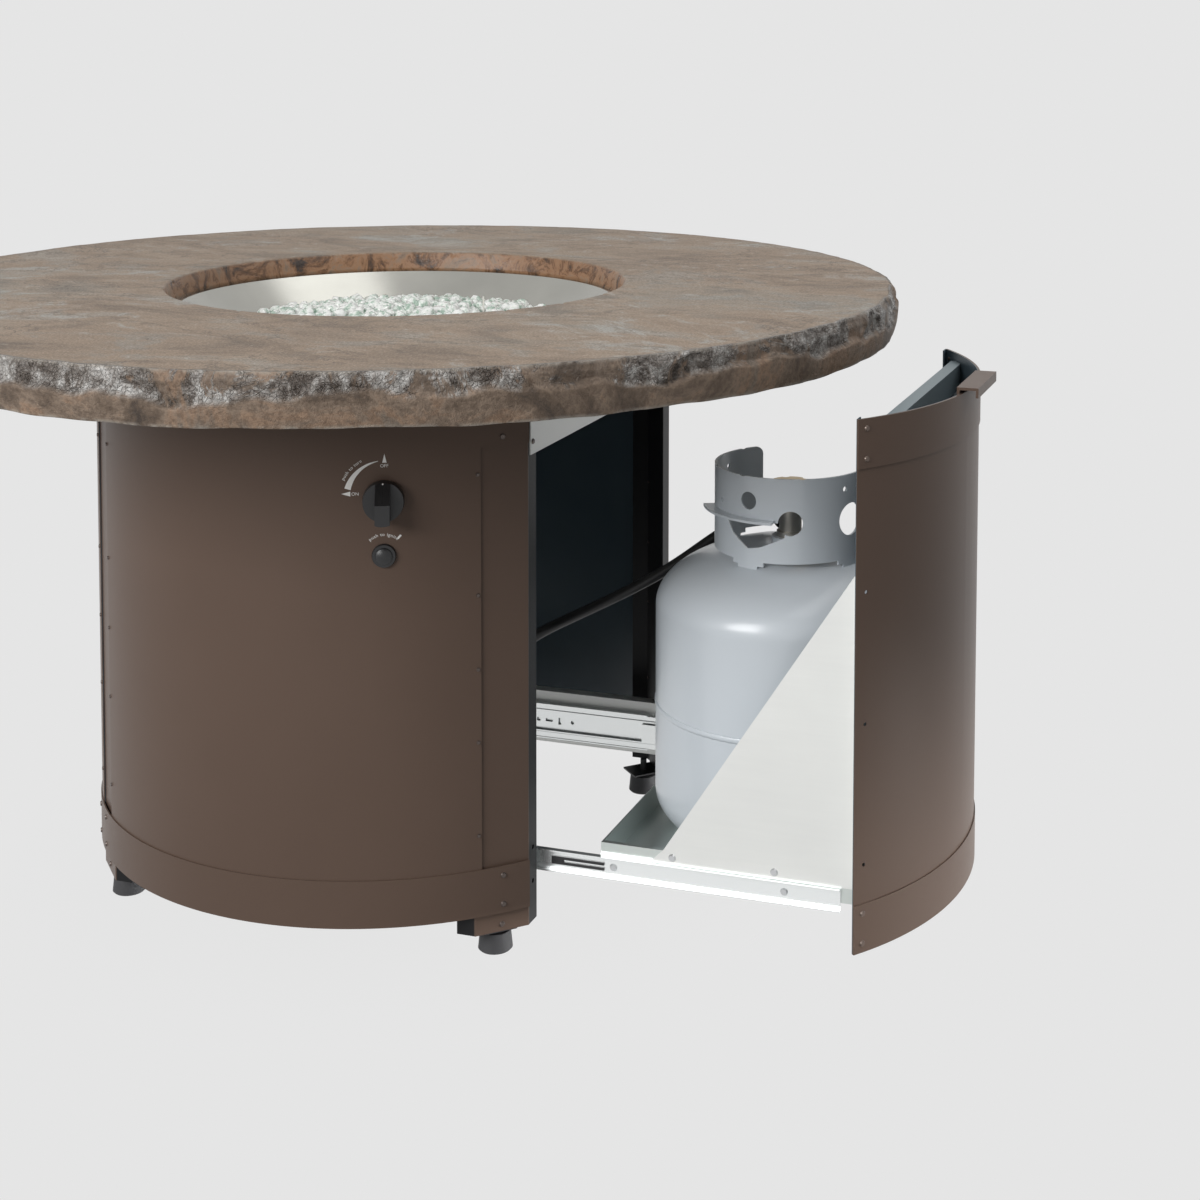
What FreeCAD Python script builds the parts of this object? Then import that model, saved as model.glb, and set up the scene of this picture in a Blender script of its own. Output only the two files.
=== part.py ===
import FreeCAD, Part
import math
import os
import Sketcher
from FreeCAD import Vector

# A round fire pit table on a drum-shaped base. The door quadrant of the drum is a drawer that
# carries the gas tank, shown pulled out. Millimetres, +Z up, origin on the floor under the
# table's axis, +X towards the drawer, -Y towards the side with the controls.

doc = FreeCAD.newDocument("fire_pit_table")
sheet = doc.addObject("Spreadsheet::Sheet", "Sizes")

DRIVING = {
    # place of the table's axis behind the middle of the open table
    "axis_offset": 60,
    # table top: a cast slab with a deep rim
    "top_radius": 609.6, "top_height": 697, "rim_height": 56, "deck_thickness": 24,
    "rim_width": 32, "hole_radius": 275, "hole_draft": 7, "deck_screw_depth": 16,
    "deck_screw_set_in": 19.66,
    # drum
    "base_radius": 352, "skin": 1.5, "ground_gap": 28, "band_height": 52, "band_low": 50,
    "band_drop": 133, "door_drop": 3.5, "band_screw_edge": 10, "band_screw_reach": 5, "panel_drop": 29,
    "panel_angle": 41.15, "band_end_angle": 40, "side_screw_angle": 142, "rivet_angle": 40.6,
    "rivet_low": 140, "rivet_drop_2": 321, "rivet_drop_3": 241, "rivet_drop_4": 160,
    "rivet_drop_high": 29,
    "post_angle": 5, "post_flange": 22, "post_sheet": 2, "header_drop": 148,
    "rail_sheet": 1.5, "rail_depth": 26, "rail_gap": 4.26, "rail_flange_gap": 24.26,
    "rail_screw_in": 10, "rail_screw_rise": 14, "tab_depth": 32, "tab_width": 30,
    "hole_upper": 111, "hole_lower": 73, "key_hole_radius": 2.6, "key_hole_in": 12,
    # feet
    "foot_radius": 19, "foot_height": 22, "foot_set_in": 21.16, "foot_bevel": 2,
    "stud_radius": 4, "stud_rise": 14, "bracket_sheet": 2, "bracket_rise": 30,
    "bracket_width": 36, "bracket_depth": 40, "foot_screw_rise": 7.5, "foot_screw_reach": 5.5,
    # drawer and its door
    "drawer_open": 359, "door_angle": 38.7, "door_return": 13, "door_screw_angle": 36.9,
    "door_screw_reach": 4.5, "tray_clearance": 11.26, "tray_length": 290.3,
    "tray_floor": 87, "tray_rim": 117.3, "tray_hole": 124, "tray_hem": 6, "tray_lip": 21.5,
    "tray_lip_angle": 32, "tray_seat": 24.9, "tray_seat_gap": 115.6, "seat_drop": 6.4,
    "gusset_low": 104, "gusset_top": 449, "gusset_length": 231.88, "gusset_toe": 15,
    "gusset_nose": 15, "flange_gap": 8, "flange_seat_in": 11, "flange_seat_low": 140,
    "flange_seat_middle": 290, "flange_seat_high": 430,
    "stiffener_set_out": 14.12, "stiffener_width": 15, "stiffener_height": 30,
    "stiffener_drop": 10, "stiffener_gap": 26,
    "handle_width": 107, "handle_reach": 14, "handle_sheet": 3, "handle_lip": 11,
    "handle_leg": 26, "handle_rise": 4, "handle_screw_drop": 12, "handle_screw_side": 30,
    # telescopic slides
    "slide_height": 91, "slide_thick": 13, "outer_set_in": 18.65, "outer_length": 350,
    "outer_tall": 45.7, "outer_gap": 3.6, "middle_set_in": 4, "middle_length": 182,
    "middle_tall": 31, "middle_gap": 3, "middle_far_gap": 3.5, "ball_outer": 5.7,
    "ball_inner": 1.9, "ball_width": 3, "ball_outer_gap": 4.5, "ball_inner_gap": 3.5,
    "inner_set_in": 17.88, "inner_length": 369, "inner_tall": 24, "slide_sheet": 1.3,
    "slide_seat": 111.8, "slide_seat_gap": 195, "lever_offset": 39, "lever_length": 62,
    "lever_sheet": 1.2, "lever_width": 9, "lever_slot": 2.4, "lever_solid": 14,
    "lever_gap": 0.3, "pivot_set_in": 4.1, "pivot_radius": 1.5,
    "web_square_in": 10, "web_square": 5, "web_flat_in": 22.5, "web_flat_long": 10,
    "web_flat_tall": 4, "web_upright_in": 40.5, "web_upright_long": 4,
    "web_upright_tall": 9, "web_round_in": 60.5, "web_round": 2.5, "bit_overrun": 15,
    "carrier_low": 60, "carrier_high": 128, "carrier_depth": 16, "cross_rail_set_in": 19.65,
    "cross_rail_depth": 14,
    # burner
    "bowl_lap": 10, "bowl_margin": 6, "bowl_flare": 72, "bowl_depth": 61,
    "bowl_sheet": 1.5, "ring_radius": 75, "ring_tube": 8, "ring_rise": 16, "hub_radius": 16,
    "nipple_radius": 10, "nipple_length": 12, "mixer_length": 42, "mixer_boss": 24,
    "jet_radius": 2.5, "jet_rise": 7, "line_radius": 3, "line_drop": 22,
    "gem_edge_drop": 48, "gem_drop": 41, "gem_shoulder": 30, "gem_shoulder_rise": 4,
    "lump_radius": 12, "lump_sunk": 3, "lump_first": 72, "lump_second": 144,
    "lump_third": 205, "electrode_x": 88, "electrode_y": 53, "electrode_drop": 23,
    "electrode_radius": 1.2, "ceramic_radius": 4, "ceramic_foot": 14, "ceramic_drop": 21,
    "shield_gap": 29.65, "shield_drop": 4, "shield_lip": 7, "shield_sheet": 1.2,
    "shield_tab": 60,
    # controls on the front panel
    "control_angle": -65.5, "knob_drop": 183, "knob_radius": 22, "knob_depth": 27,
    "knob_skirt": 8, "knob_taper": 0.8, "knob_bar": 15.5, "knob_recess": 13,
    "knob_gap": 5, "stem_radius": 4, "stem_grip": 15.5, "igniter_drop": 60,
    "igniter_radius": 13, "igniter_wall": 2.6, "igniter_rim": 3.5, "igniter_length": 55,
    "button_radius": 8.6, "button_length": 18, "button_sunk": 8, "button_dome": 16,
    "valve_radius": 15, "valve_set_in": 46, "valve_length": 44, "bushing_radius": 9,
    "inlet_reach": 24, "inlet_radius": 6, "inlet_set_in": 10, "outlet_radius": 5,
    "outlet_set_in": 20, "lead_radius": 1.5,
    # gas tank
    "tank_set_in": 131.88, "tank_radius": 155.5, "tank_wall": 3, "tank_low": 132,
    "tank_high": 346, "tank_dome": 72, "foot_ring_radius": 100, "foot_ring_low": 48,
    "vent_width": 40, "vent_height": 9, "collar_radius": 88, "collar_wall": 2.6,
    "collar_low": 414, "collar_high": 510, "collar_start": 129, "collar_span": 266,
    "collar_corner": 9, "grip_start": -158, "grip_span": 72, "grip_reach": 13,
    "grip_rise": 46.5, "outlet_angle": 118, "neck_radius": 16, "valve_body_radius": 13,
    "valve_body_rise": 22, "spindle_radius": 5, "spindle_length": 25, "port_radius": 9,
    "outlet_height": 436, "outlet_reach": 32, "nut_radius": 14, "nut_length": 18,
    "nut_tail": 10, "wheel_radius": 24, "wheel_gap": 13, "wheel_height": 16,
    "wheel_notch": 5,
    # hose
    "hose_radius": 6.5, "hose_lead": 36, "hose_rise": 98,
    # fasteners
    "screw_radius": 1.9, "head_radius": 3.2, "pan_head_radius": 4.3, "head_height": 1.5,
    "hole_play": 0.2,
    "rivet_radius": 1.3, "rivet_head": 2.2, "handle_pin": 7, "tray_pin": 5, "slide_pin": 4,
    "flange_pin": 3.2, "rail_pin": 4.5,
}
for row, (alias, value) in enumerate(DRIVING.items(), start=1):
    sheet.set("A%d" % row, alias)
    sheet.set("B%d" % row, str(value))
    sheet.setAlias("B%d" % row, alias)
doc.recompute()


class Size:
    # a number together with the sheet expression that gives it
    def __init__(self, value, text):
        self.value = value
        self.text = text

    def __add__(self, other):
        other = asSize(other)
        return Size(self.value + other.value, "(%s + %s)" % (self.text, other.text))

    def __sub__(self, other):
        other = asSize(other)
        return Size(self.value - other.value, "(%s - %s)" % (self.text, other.text))

    def __mul__(self, other):
        other = asSize(other)
        return Size(self.value * other.value, "(%s * %s)" % (self.text, other.text))

    def __truediv__(self, other):
        other = asSize(other)
        return Size(self.value / other.value, "(%s / %s)" % (self.text, other.text))

    def __radd__(self, other):
        return asSize(other) + self

    def __rsub__(self, other):
        return asSize(other) - self

    def __rmul__(self, other):
        return asSize(other) * self

    def __neg__(self):
        return asSize(0) - self


def asSize(number):
    if isinstance(number, Size):
        return number
    return Size(float(number), repr(float(number)))


def cosine(degrees):
    degrees = asSize(degrees)
    return Size(math.cos(math.radians(degrees.value)), "cos(%s)" % degrees.text)


def sine(degrees):
    degrees = asSize(degrees)
    return Size(math.sin(math.radians(degrees.value)), "sin(%s)" % degrees.text)


def root(number):
    number = asSize(number)
    return Size(math.sqrt(number.value), "sqrt(%s)" % number.text)


class Sizes:
    def __getattr__(self, alias):
        return Size(float(DRIVING[alias]), "Sizes." + alias)


S = Sizes()


# helpers that bind sizes and places to the sheet

def bind(thing, path, size):
    size = asSize(size)
    thing.setExpression(path, size.text)


def place(thing, x=0, y=0, z=0, turn=None, axis=(0, 0, 1)):
    # a turn is in degrees about the given axis, a place is in millimetres
    thing.Placement = FreeCAD.Placement(
        Vector(asSize(x).value, asSize(y).value, asSize(z).value),
        FreeCAD.Rotation(Vector(*axis), asSize(turn or 0).value))
    for key, size in (("x", x), ("y", y), ("z", z)):
        if isinstance(size, Size):
            bind(thing, "Placement.Base." + key, size)
    if isinstance(turn, Size):
        bind(thing, "Placement.Rotation.Angle", turn)
    return thing


def block(name, x, y, z, dx, dy, dz):
    thing = doc.addObject("Part::Box", name)
    bind(thing, "Length", dx)
    bind(thing, "Width", dy)
    bind(thing, "Height", dz)
    return place(thing, x, y, z)


AXES = {"x": (0, 1, 0), "y": (-1, 0, 0)}


def rod(name, radius, length, x=0, y=0, z=0, along="z"):
    thing = doc.addObject("Part::Cylinder", name)
    bind(thing, "Radius", radius)
    bind(thing, "Height", length)
    if along == "z":
        return place(thing, x, y, z)
    place(thing, x, y, z, 90, AXES[along])
    return thing


def group(name, *things):
    thing = doc.addObject("Part::Compound", name)
    thing.Links = list(things)
    return thing


def join(name, *things):
    thing = doc.addObject("Part::MultiFuse", name)
    thing.Shapes = list(things)
    return thing


def cut(name, base, *tools):
    thing = doc.addObject("Part::Cut", name)
    thing.Base = base
    thing.Tool = tools[0] if len(tools) == 1 else group(name + "_tools", *tools)
    return thing


def overlap(name, first, second):
    thing = doc.addObject("Part::Common", name)
    thing.Base = first
    thing.Tool = second
    return thing


def sector(name, inner, outer, low, height, start, span):
    # a curved plate about the Z axis, from a start angle through a span of degrees
    wedge = doc.addObject("Part::Cylinder", name + "_wedge")
    bind(wedge, "Radius", outer)
    bind(wedge, "Height", height)
    bind(wedge, "Angle", span)
    place(wedge, 0, 0, low, asSize(start))
    core = rod(name + "_core", inner, asSize(height) + 2, z=asSize(low) - 1)
    return cut(name, wedge, core)


PLANES = {"xy": "XY_Plane", "xz": "XZ_Plane", "yz": "YZ_Plane"}


def outline(body, name, plane, points, offset=0):
    # a closed outline of straight edges, each corner tied to the sheet
    sketch = body.newObject("Sketcher::SketchObject", name)
    support = [f for f in body.Origin.OriginFeatures if f.Role == PLANES[plane]][0]
    sketch.AttachmentSupport = [(support, "")]
    sketch.MapMode = "FlatFace"
    if asSize(offset).value:
        bind(sketch, ".AttachmentOffset.Base.z", offset)
    corners = [(asSize(u), asSize(v)) for u, v in points]
    count = len(corners)
    for index in range(count):
        here = corners[index]
        there = corners[(index + 1) % count]
        sketch.addGeometry(Part.LineSegment(Vector(here[0].value, here[1].value, 0),
                                            Vector(there[0].value, there[1].value, 0)), False)
    for index in range(count):
        sketch.addConstraint(Sketcher.Constraint("Coincident", index, 2, (index + 1) % count, 1))
    for index, (u, v) in enumerate(corners):
        for kind, size, axis in (("DistanceX", u, -2), ("DistanceY", v, -1)):
            if size.value == 0:
                sketch.addConstraint(Sketcher.Constraint("PointOnObject", index, 1, axis))
                continue
            number = sketch.addConstraint(
                Sketcher.Constraint(kind, -1, 1, index, 1, size.value))
            bind(sketch, "Constraints[%d]" % number, size)
    return sketch


def extruded(name, plane, points, height, offset=0, backwards=False):
    body = doc.addObject("PartDesign::Body", name)
    sketch = outline(body, name + "_outline", plane, points, offset)
    pad = body.newObject("PartDesign::Pad", name + "_pad")
    pad.Profile = sketch
    bind(pad, "Length", height)
    pad.Reversed = backwards
    sketch.Visibility = False
    return body


def turned(name, points, angle=360):
    # a profile of radius and height turned about the Z axis
    body = doc.addObject("PartDesign::Body", name)
    sketch = outline(body, name + "_profile", "xz", points)
    turn = body.newObject("PartDesign::Revolution", name + "_turn")
    turn.Profile = sketch
    turn.ReferenceAxis = (sketch, ["V_Axis"])
    bind(turn, "Angle", angle)
    return body


parts = {}


def keep(name, thing, *, shifted=False):
    # pieces are modelled about the drum's axis, the drawer's closed: both are shifted here
    piece = group(name, thing)
    bind(piece, "Placement.Base.x", (S.drawer_open if shifted else 0) - S.axis_offset)
    parts[name] = piece


def radial(thing, angle, distance, height):
    # local Z points outwards from the axis, local Y points up
    heading = asSize(angle)
    reach = asSize(distance)
    level = asSize(height)
    thing.Placement = FreeCAD.Placement(
        Vector((reach * cosine(heading)).value, (reach * sine(heading)).value, level.value),
        FreeCAD.Rotation(heading.value + 90, 0, 90))
    bind(thing, "Placement.Base.x", reach * cosine(heading))
    bind(thing, "Placement.Base.y", reach * sine(heading))
    bind(thing, "Placement.Base.z", level)
    return thing


def aimed(thing, x, y, z, heading):
    # the same as radial for a flat face, at a point and with a heading in degrees
    thing.Placement = FreeCAD.Placement(
        Vector(asSize(x).value, asSize(y).value, asSize(z).value),
        FreeCAD.Rotation(heading + 90, 0, 90))
    for key, size in (("x", x), ("y", y), ("z", z)):
        if isinstance(size, Size):
            bind(thing, "Placement.Base." + key, size)
    return thing


def pin(name, reach, *, rivet=False, wide=None):
    # a screw or rivet whose head sits on local height zero, with its shank below
    head = doc.addObject("Part::Cone", name + "_head")
    wide = wide or (S.rivet_head if rivet else S.head_radius)
    bind(head, "Radius1", wide)
    bind(head, "Radius2", wide * 0.75)
    bind(head, "Height", S.head_height)
    thin = S.rivet_radius if rivet else S.screw_radius
    return join(name, head, rod(name + "_shank", thin, reach, z=0 - asSize(reach)))


def bore(name, reach, *, rivet=False):
    wide = S.rivet_radius + S.hole_play if rivet else pinBore
    return group(name, rod(name + "_bit", wide, asSize(reach) + 2, z=0 - asSize(reach) - 1))


# distances that several pieces share
deckLow = S.top_height - S.deck_thickness
panelOut = S.base_radius + S.skin
bandOut = panelOut + S.skin
flangePlane = S.base_radius * cosine(45 - S.post_angle)
flangeCorner = S.base_radius * sine(45 - S.post_angle)
flangeEnd = flangeCorner - S.post_flange
facetPlane = S.base_radius * cosine(S.post_angle)
deckScrew = facetPlane - S.deck_screw_set_in
bandHigh = S.top_height - S.band_drop
bandTop = bandHigh + S.band_height
headerLow = S.top_height - S.header_drop
screwLevels = [S.band_low + S.band_screw_edge, S.band_low + S.band_height - S.band_screw_edge,
               bandHigh + S.band_screw_edge, bandTop - S.band_screw_edge]
rivetLevels = [S.rivet_low] + [bandHigh - drop for drop in (
    S.rivet_drop_2, S.rivet_drop_3, S.rivet_drop_4, S.rivet_drop_high)]
doorLow = S.band_low - S.door_drop
doorTop = bandTop - S.door_drop
footScrewLevel = S.ground_gap + S.foot_screw_rise
footDistance = facetPlane - S.foot_set_in
railScrewPlace = flangeCorner - S.rail_screw_in
railScrewLevel = headerLow + S.rail_screw_rise
railOut = flangePlane + S.rail_sheet
bandReach = bandOut - facetPlane + S.post_sheet + 1
pinBore = S.screw_radius + S.hole_play
# drawer
doorEdge = panelOut * cosine(S.door_angle)
doorSide = panelOut * sine(S.door_angle)
trayHalf = flangeEnd - S.tray_clearance
trayFront = doorEdge - S.skin * 2
trayRear = trayFront - S.tray_length
gussetOut = trayHalf + S.skin
gussetRear = trayFront - S.gusset_length
flangeSeat = doorSide - S.flange_seat_in
tankX = trayFront - S.tank_set_in
outerRear = flangePlane - S.outer_set_in - S.outer_length
middleRear = outerRear + S.middle_set_in
innerRear = trayFront - S.inner_set_in - S.inner_length
leverRear = innerRear + S.lever_offset
traySeats = (gussetRear + S.tray_seat, gussetRear + S.tray_seat + S.tray_seat_gap)
slideSeats = (innerRear + S.slide_seat, innerRear + S.slide_seat + S.slide_seat_gap)
flangeSeats = (S.flange_seat_low, S.flange_seat_middle, S.flange_seat_high)
handleInner = root(S.base_radius * S.base_radius
                   - S.handle_width * S.handle_width / 4) - S.handle_sheet
# burner and controls
bowlLow = deckLow - S.bowl_depth
bowlFloor = bowlLow + S.bowl_sheet
lineLevel = bowlLow - S.line_drop
ceramicLow = bowlLow - S.ceramic_foot
valveOuter = S.base_radius - S.valve_set_in
valveInner = valveOuter - S.valve_length
knobLevel = S.top_height - S.knob_drop
igniterLevel = knobLevel - S.igniter_drop
DIAGONALS = (-45, -135, 45, 135)
SIDES = (("front", -90), ("left", 180), ("back", 90))
ENDS = (("front", -1), ("back", 1))

# where every screw and rivet of the drum goes: angle, distance of the seat, height, reach
BAND_PINS = [(angle, bandOut, level, bandReach) for angle in DIAGONALS for level in screwLevels]
BAND_PINS += [(S.side_screw_angle * side, bandOut, level, S.band_screw_reach)
              for side in (1, -1) for level in screwLevels]
FOOT_PINS = [(angle, facetPlane, footScrewLevel, S.foot_screw_reach) for angle in DIAGONALS]
RIVETS = [(heading + S.rivet_angle * side, panelOut, level, S.band_screw_reach)
          for name, heading in SIDES for side in (-1, 1)
          for level in rivetLevels]
DOOR_PINS = [(S.door_screw_angle * side, bandOut, level - S.door_drop, S.door_screw_reach)
             for side in (-1, 1) for level in screwLevels]


def turnBetween(first, second):
    # how far apart two headings are, in degrees
    return abs((asSize(first).value - asSize(second).value + 180) % 360 - 180)


def stoneTop():
    inner = S.top_radius - S.rim_width
    slab = turned("slab", [
        (S.hole_radius - S.hole_draft, deckLow), (S.hole_radius, S.top_height),
        (S.top_radius, S.top_height), (S.top_radius, S.top_height - S.rim_height),
        (inner, S.top_height - S.rim_height), (inner, deckLow)])
    holes = [rod("slab_hole_%d" % index, pinBore, S.deck_screw_depth + 1,
                 deckScrew * cosine(angle), deckScrew * sine(angle),
                 deckLow - 1)
             for index, angle in enumerate(DIAGONALS)]
    keep("stone_top", cut("slab_drilled", slab, *holes))


def burner():
    mouth = S.hole_radius - S.hole_draft - S.bowl_margin
    floorRadius = mouth - S.bowl_flare
    lip = S.hole_radius + S.bowl_lap
    rise = S.bowl_depth - S.bowl_sheet
    slant = root(S.bowl_flare * S.bowl_flare + rise * rise)
    lean = S.bowl_sheet * (slant - S.bowl_flare) / rise
    shell = turned("bowl_shell", [
        (0, bowlLow), (floorRadius + lean, bowlLow), (mouth + lean, deckLow - S.bowl_sheet),
        (lip, deckLow - S.bowl_sheet), (lip, deckLow), (mouth, deckLow),
        (floorRadius, bowlFloor), (0, bowlFloor)])
    spots = (S.electrode_x, S.electrode_y)
    keep("burner_bowl", cut(
        "bowl_drilled", shell,
        rod("nipple_hole", S.nipple_radius + S.hole_play, S.bowl_sheet * 3,
            z=bowlLow - S.bowl_sheet),
        rod("ceramic_hole", S.ceramic_radius + S.hole_play, S.bowl_sheet * 3, *spots,
            bowlLow - S.bowl_sheet)))
    level = bowlFloor + S.ring_rise
    tube = doc.addObject("Part::Torus", "ring_tube")
    bind(tube, "Radius1", S.ring_radius)
    bind(tube, "Radius2", S.ring_tube)
    place(tube, 0, 0, level)
    arm = S.ring_tube * 0.7
    ring = join(
        "ring_shape", tube,
        rod("ring_arm_x", arm, S.ring_radius * 2, 0 - S.ring_radius, 0, level, "x"),
        rod("ring_arm_y", arm, S.ring_radius * 2, 0, 0 - S.ring_radius, level, "y"),
        rod("ring_hub", S.hub_radius, S.ring_rise + S.ring_tube, z=bowlFloor),
        rod("ring_nipple", S.nipple_radius, S.nipple_length, z=bowlFloor - S.nipple_length))
    keep("burner_ring", ring)
    mixerLow = bowlLow - S.mixer_length
    socketLow = bowlFloor - S.nipple_length - 2
    mixer = join("mixer_outside", rod("mixer_body", S.hub_radius, S.mixer_length, z=mixerLow),
                 radial(group("mixer_side", rod("mixer_boss", S.line_radius * 2, S.mixer_boss)),
                        S.control_angle, 0, lineLevel))
    keep("air_mixer", cut(
        "mixer_shape", mixer,
        rod("mixer_socket", S.nipple_radius + S.hole_play, bowlLow - socketLow + 1, z=socketLow),
        rod("mixer_jets", S.jet_radius, S.hub_radius * 3, 0 - S.hub_radius * 1.5, 0,
            mixerLow + S.jet_rise, "x")))
    ceramicHigh = deckLow - S.ceramic_drop
    electrode = join(
        "electrode_shape",
        rod("ceramic", S.ceramic_radius, ceramicHigh - ceramicLow, *spots, ceramicLow),
        rod("electrode_flange", S.ceramic_radius * 2.2, S.bowl_sheet, *spots, bowlFloor),
        rod("electrode_tip", S.electrode_radius, S.top_height - S.electrode_drop - ceramicHigh,
            *spots, ceramicHigh))
    keep("spark_electrode", electrode)
    gemEdge = S.top_height - S.gem_edge_drop
    gemTop = S.top_height - S.gem_drop
    shoulder = gemEdge + S.gem_shoulder_rise
    bank = floorRadius + (gemEdge - bowlFloor) * S.bowl_flare / rise
    heap = turned("gem_heap", [
        (0, bowlFloor), (floorRadius, bowlFloor), (bank, gemEdge),
        (bank - S.gem_shoulder, shoulder), (bank * 0.45, gemTop), (0, gemTop)])
    lumps = []
    for ringNumber, (distance, count, surface) in enumerate((
            (asSize(0), 1, gemTop), (S.lump_first, 6, gemTop),
            (S.lump_second, 12, (gemTop + shoulder) / 2), (S.lump_third, 17, shoulder))):
        for index in range(count):
            lump = doc.addObject("Part::Sphere", "lump_%d_%d" % (ringNumber, index))
            bind(lump, "Radius", S.lump_radius)
            turn = 360 * (index + ringNumber / 2) / count
            lumps.append(place(lump, distance * cosine(turn), distance * sine(turn),
                               surface - S.lump_sunk))
    keep("glass_gems", cut("gem_bed", join("gem_heap_whole", heap, *lumps), ring, electrode))


def posts():
    lap = S.post_sheet * (1 - math.sqrt(2))
    inner = flangePlane - S.post_sheet
    for name, sx, sy in (("front_right", 1, -1), ("front_left", -1, -1),
                         ("back_right", 1, 1), ("back_left", -1, 1)):
        angle = round(math.degrees(math.atan2(sy, sx)))
        corners = [
            (flangePlane, flangeEnd), (flangePlane, flangeCorner), (flangeCorner, flangePlane),
            (flangeEnd, flangePlane), (flangeEnd, inner), (flangeCorner + lap, inner),
            (inner, flangeCorner + lap), (inner, flangeEnd)]
        profile = extruded("post_sheet_" + name, "xy", [(x * sx, y * sy) for x, y in corners],
                           deckLow - S.ground_gap, S.ground_gap)
        tab = group("post_tab_" + name, block(
            "post_tab_plate_" + name, facetPlane - S.tab_depth, 0 - S.tab_width / 2,
            deckLow - S.post_sheet, S.tab_depth - S.post_sheet / 2, S.tab_width, S.post_sheet))
        place(tab, turn=angle)
        holes = [radial(bore("post_hole_%s_%d" % (name, index), reach), angle, seat, level)
                 for index, (where, seat, level, reach) in enumerate(BAND_PINS + FOOT_PINS)
                 if asSize(where).value == angle]
        holes += [radial(bore("post_rivet_%s_%d" % (name, index), reach, rivet=True), where, seat,
                         level)
                  for index, (where, seat, level, reach) in enumerate(RIVETS)
                  if turnBetween(where, angle) < 6]
        holes.append(rod("post_deck_hole_" + name, pinBore, 8,
                         deckScrew * cosine(angle), deckScrew * sine(angle),
                         deckLow - 5))
        start = flangePlane - 8 if sx > 0 else 0 - flangePlane - 8
        for key, level in (("upper", S.hole_upper), ("lower", S.hole_lower)):
            holes.append(rod("post_%s_hole_%s" % (key, name), S.key_hole_radius, 16, start,
                             (flangeCorner - S.key_hole_in) * sy, level, "x"))
        holes.append(rod("post_rail_hole_x_" + name, pinBore, 16, start, railScrewPlace * sy,
                         railScrewLevel, "x"))
        start = flangePlane - 8 if sy > 0 else 0 - flangePlane - 8
        holes.append(rod("post_rail_hole_y_" + name, pinBore, 16, railScrewPlace * sx, start,
                         railScrewLevel, "y"))
        keep("post_" + name, cut("post_shape_" + name, join("post_whole_" + name, profile, tab),
                                 *holes))


def topRails():
    railHalf = flangeCorner - S.rail_gap
    railFlangeHalf = flangeEnd - S.rail_flange_gap
    rails = []
    for name, heading in (("header", 0),) + SIDES:
        web = block("rail_web_" + name, flangePlane, 0 - railHalf, headerLow, S.rail_sheet,
                    railHalf * 2, deckLow - S.bowl_sheet - headerLow)
        lip = block("rail_lip_" + name, flangePlane, 0 - railFlangeHalf,
                    deckLow - S.bowl_sheet - S.rail_sheet, S.rail_depth, railFlangeHalf * 2,
                    S.rail_sheet)
        holes = [rod("rail_hole_%s_%d" % (name, side), pinBore, 10,
                     flangePlane - 4, railScrewPlace * side, railScrewLevel, "x")
                 for side in (-1, 1)]
        rail = cut("rail_shape_" + name, join("rail_whole_" + name, web, lip), *holes)
        rails.append(place(rail, turn=heading))
    keep("drawer_header", rails[0])
    keep("top_rails", group("rail_set", *rails[1:]))


def panels():
    for name, heading in SIDES:
        plate = sector("plate_" + name, S.base_radius, panelOut, S.band_low,
                       S.top_height - S.panel_drop - S.band_low, heading - S.panel_angle,
                       S.panel_angle * 2)
        holes = [radial(bore("plate_rivet_%s_%d" % (name, index), reach, rivet=True), where, seat,
                        level)
                 for index, (where, seat, level, reach) in enumerate(RIVETS)
                 if turnBetween(where, heading) < 45]
        if name == "left":
            holes += [radial(bore("plate_hole_%d" % index, reach), where, seat, level)
                      for index, (where, seat, level, reach) in enumerate(BAND_PINS)
                      if turnBetween(where, 180) < 45 and asSize(where).value not in DIAGONALS]
        if name == "front":
            holes.append(radial(group("knob_hole", rod("knob_bit", S.bushing_radius + S.hole_play,
                                                       20, z=-10)),
                                S.control_angle, S.base_radius, knobLevel))
            holes.append(radial(group("igniter_hole", rod("igniter_bit", S.igniter_radius
                                                          - S.igniter_wall, 20, z=-10)),
                                S.control_angle, S.base_radius, igniterLevel))
        keep(name + "_panel", cut("plate_shape_" + name, plate, *holes))
        spread = S.band_end_angle if name == "left" else 90 - S.band_end_angle
        for key, low in (("top", bandHigh), ("bottom", S.band_low)):
            strip = sector("strip_%s_%s" % (name, key), panelOut, bandOut, low, S.band_height,
                           heading - spread, spread * 2)
            reachable = [spot for spot in BAND_PINS
                         if turnBetween(spot[0], heading) < asSize(spread).value
                         and low.value < spot[2].value < (low + S.band_height).value]
            holes = [radial(bore("strip_hole_%s_%s_%d" % (name, key, index), reach), where, seat,
                            level)
                     for index, (where, seat, level, reach) in enumerate(reachable)]
            keep("%s_%s_band" % (name, key), cut("strip_shape_%s_%s" % (name, key), strip, *holes))


def heatShield():
    half = flangePlane - S.shield_gap
    size = half * 2
    low = headerLow - S.shield_drop
    level = low + S.shield_lip
    sheet = S.shield_sheet
    outer = block("shield_outer", 0 - half, 0 - half, low, size, size,
                  S.shield_lip + sheet)
    inner = block("shield_inner", sheet - half, sheet - half, low - 1, size - sheet * 2,
                  size - sheet * 2, S.shield_lip + 1)
    arms = [block("shield_arm_x", 0 - flangePlane, 0 - S.shield_tab / 2, level, flangePlane * 2,
                  S.shield_tab, sheet),
            block("shield_arm_y", 0 - S.shield_tab / 2, 0 - flangePlane, level, S.shield_tab,
                  flangePlane * 2, sheet)]
    keep("heat_shield", join("shield_shape", cut("shield_pan", outer, inner), *arms))


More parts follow.
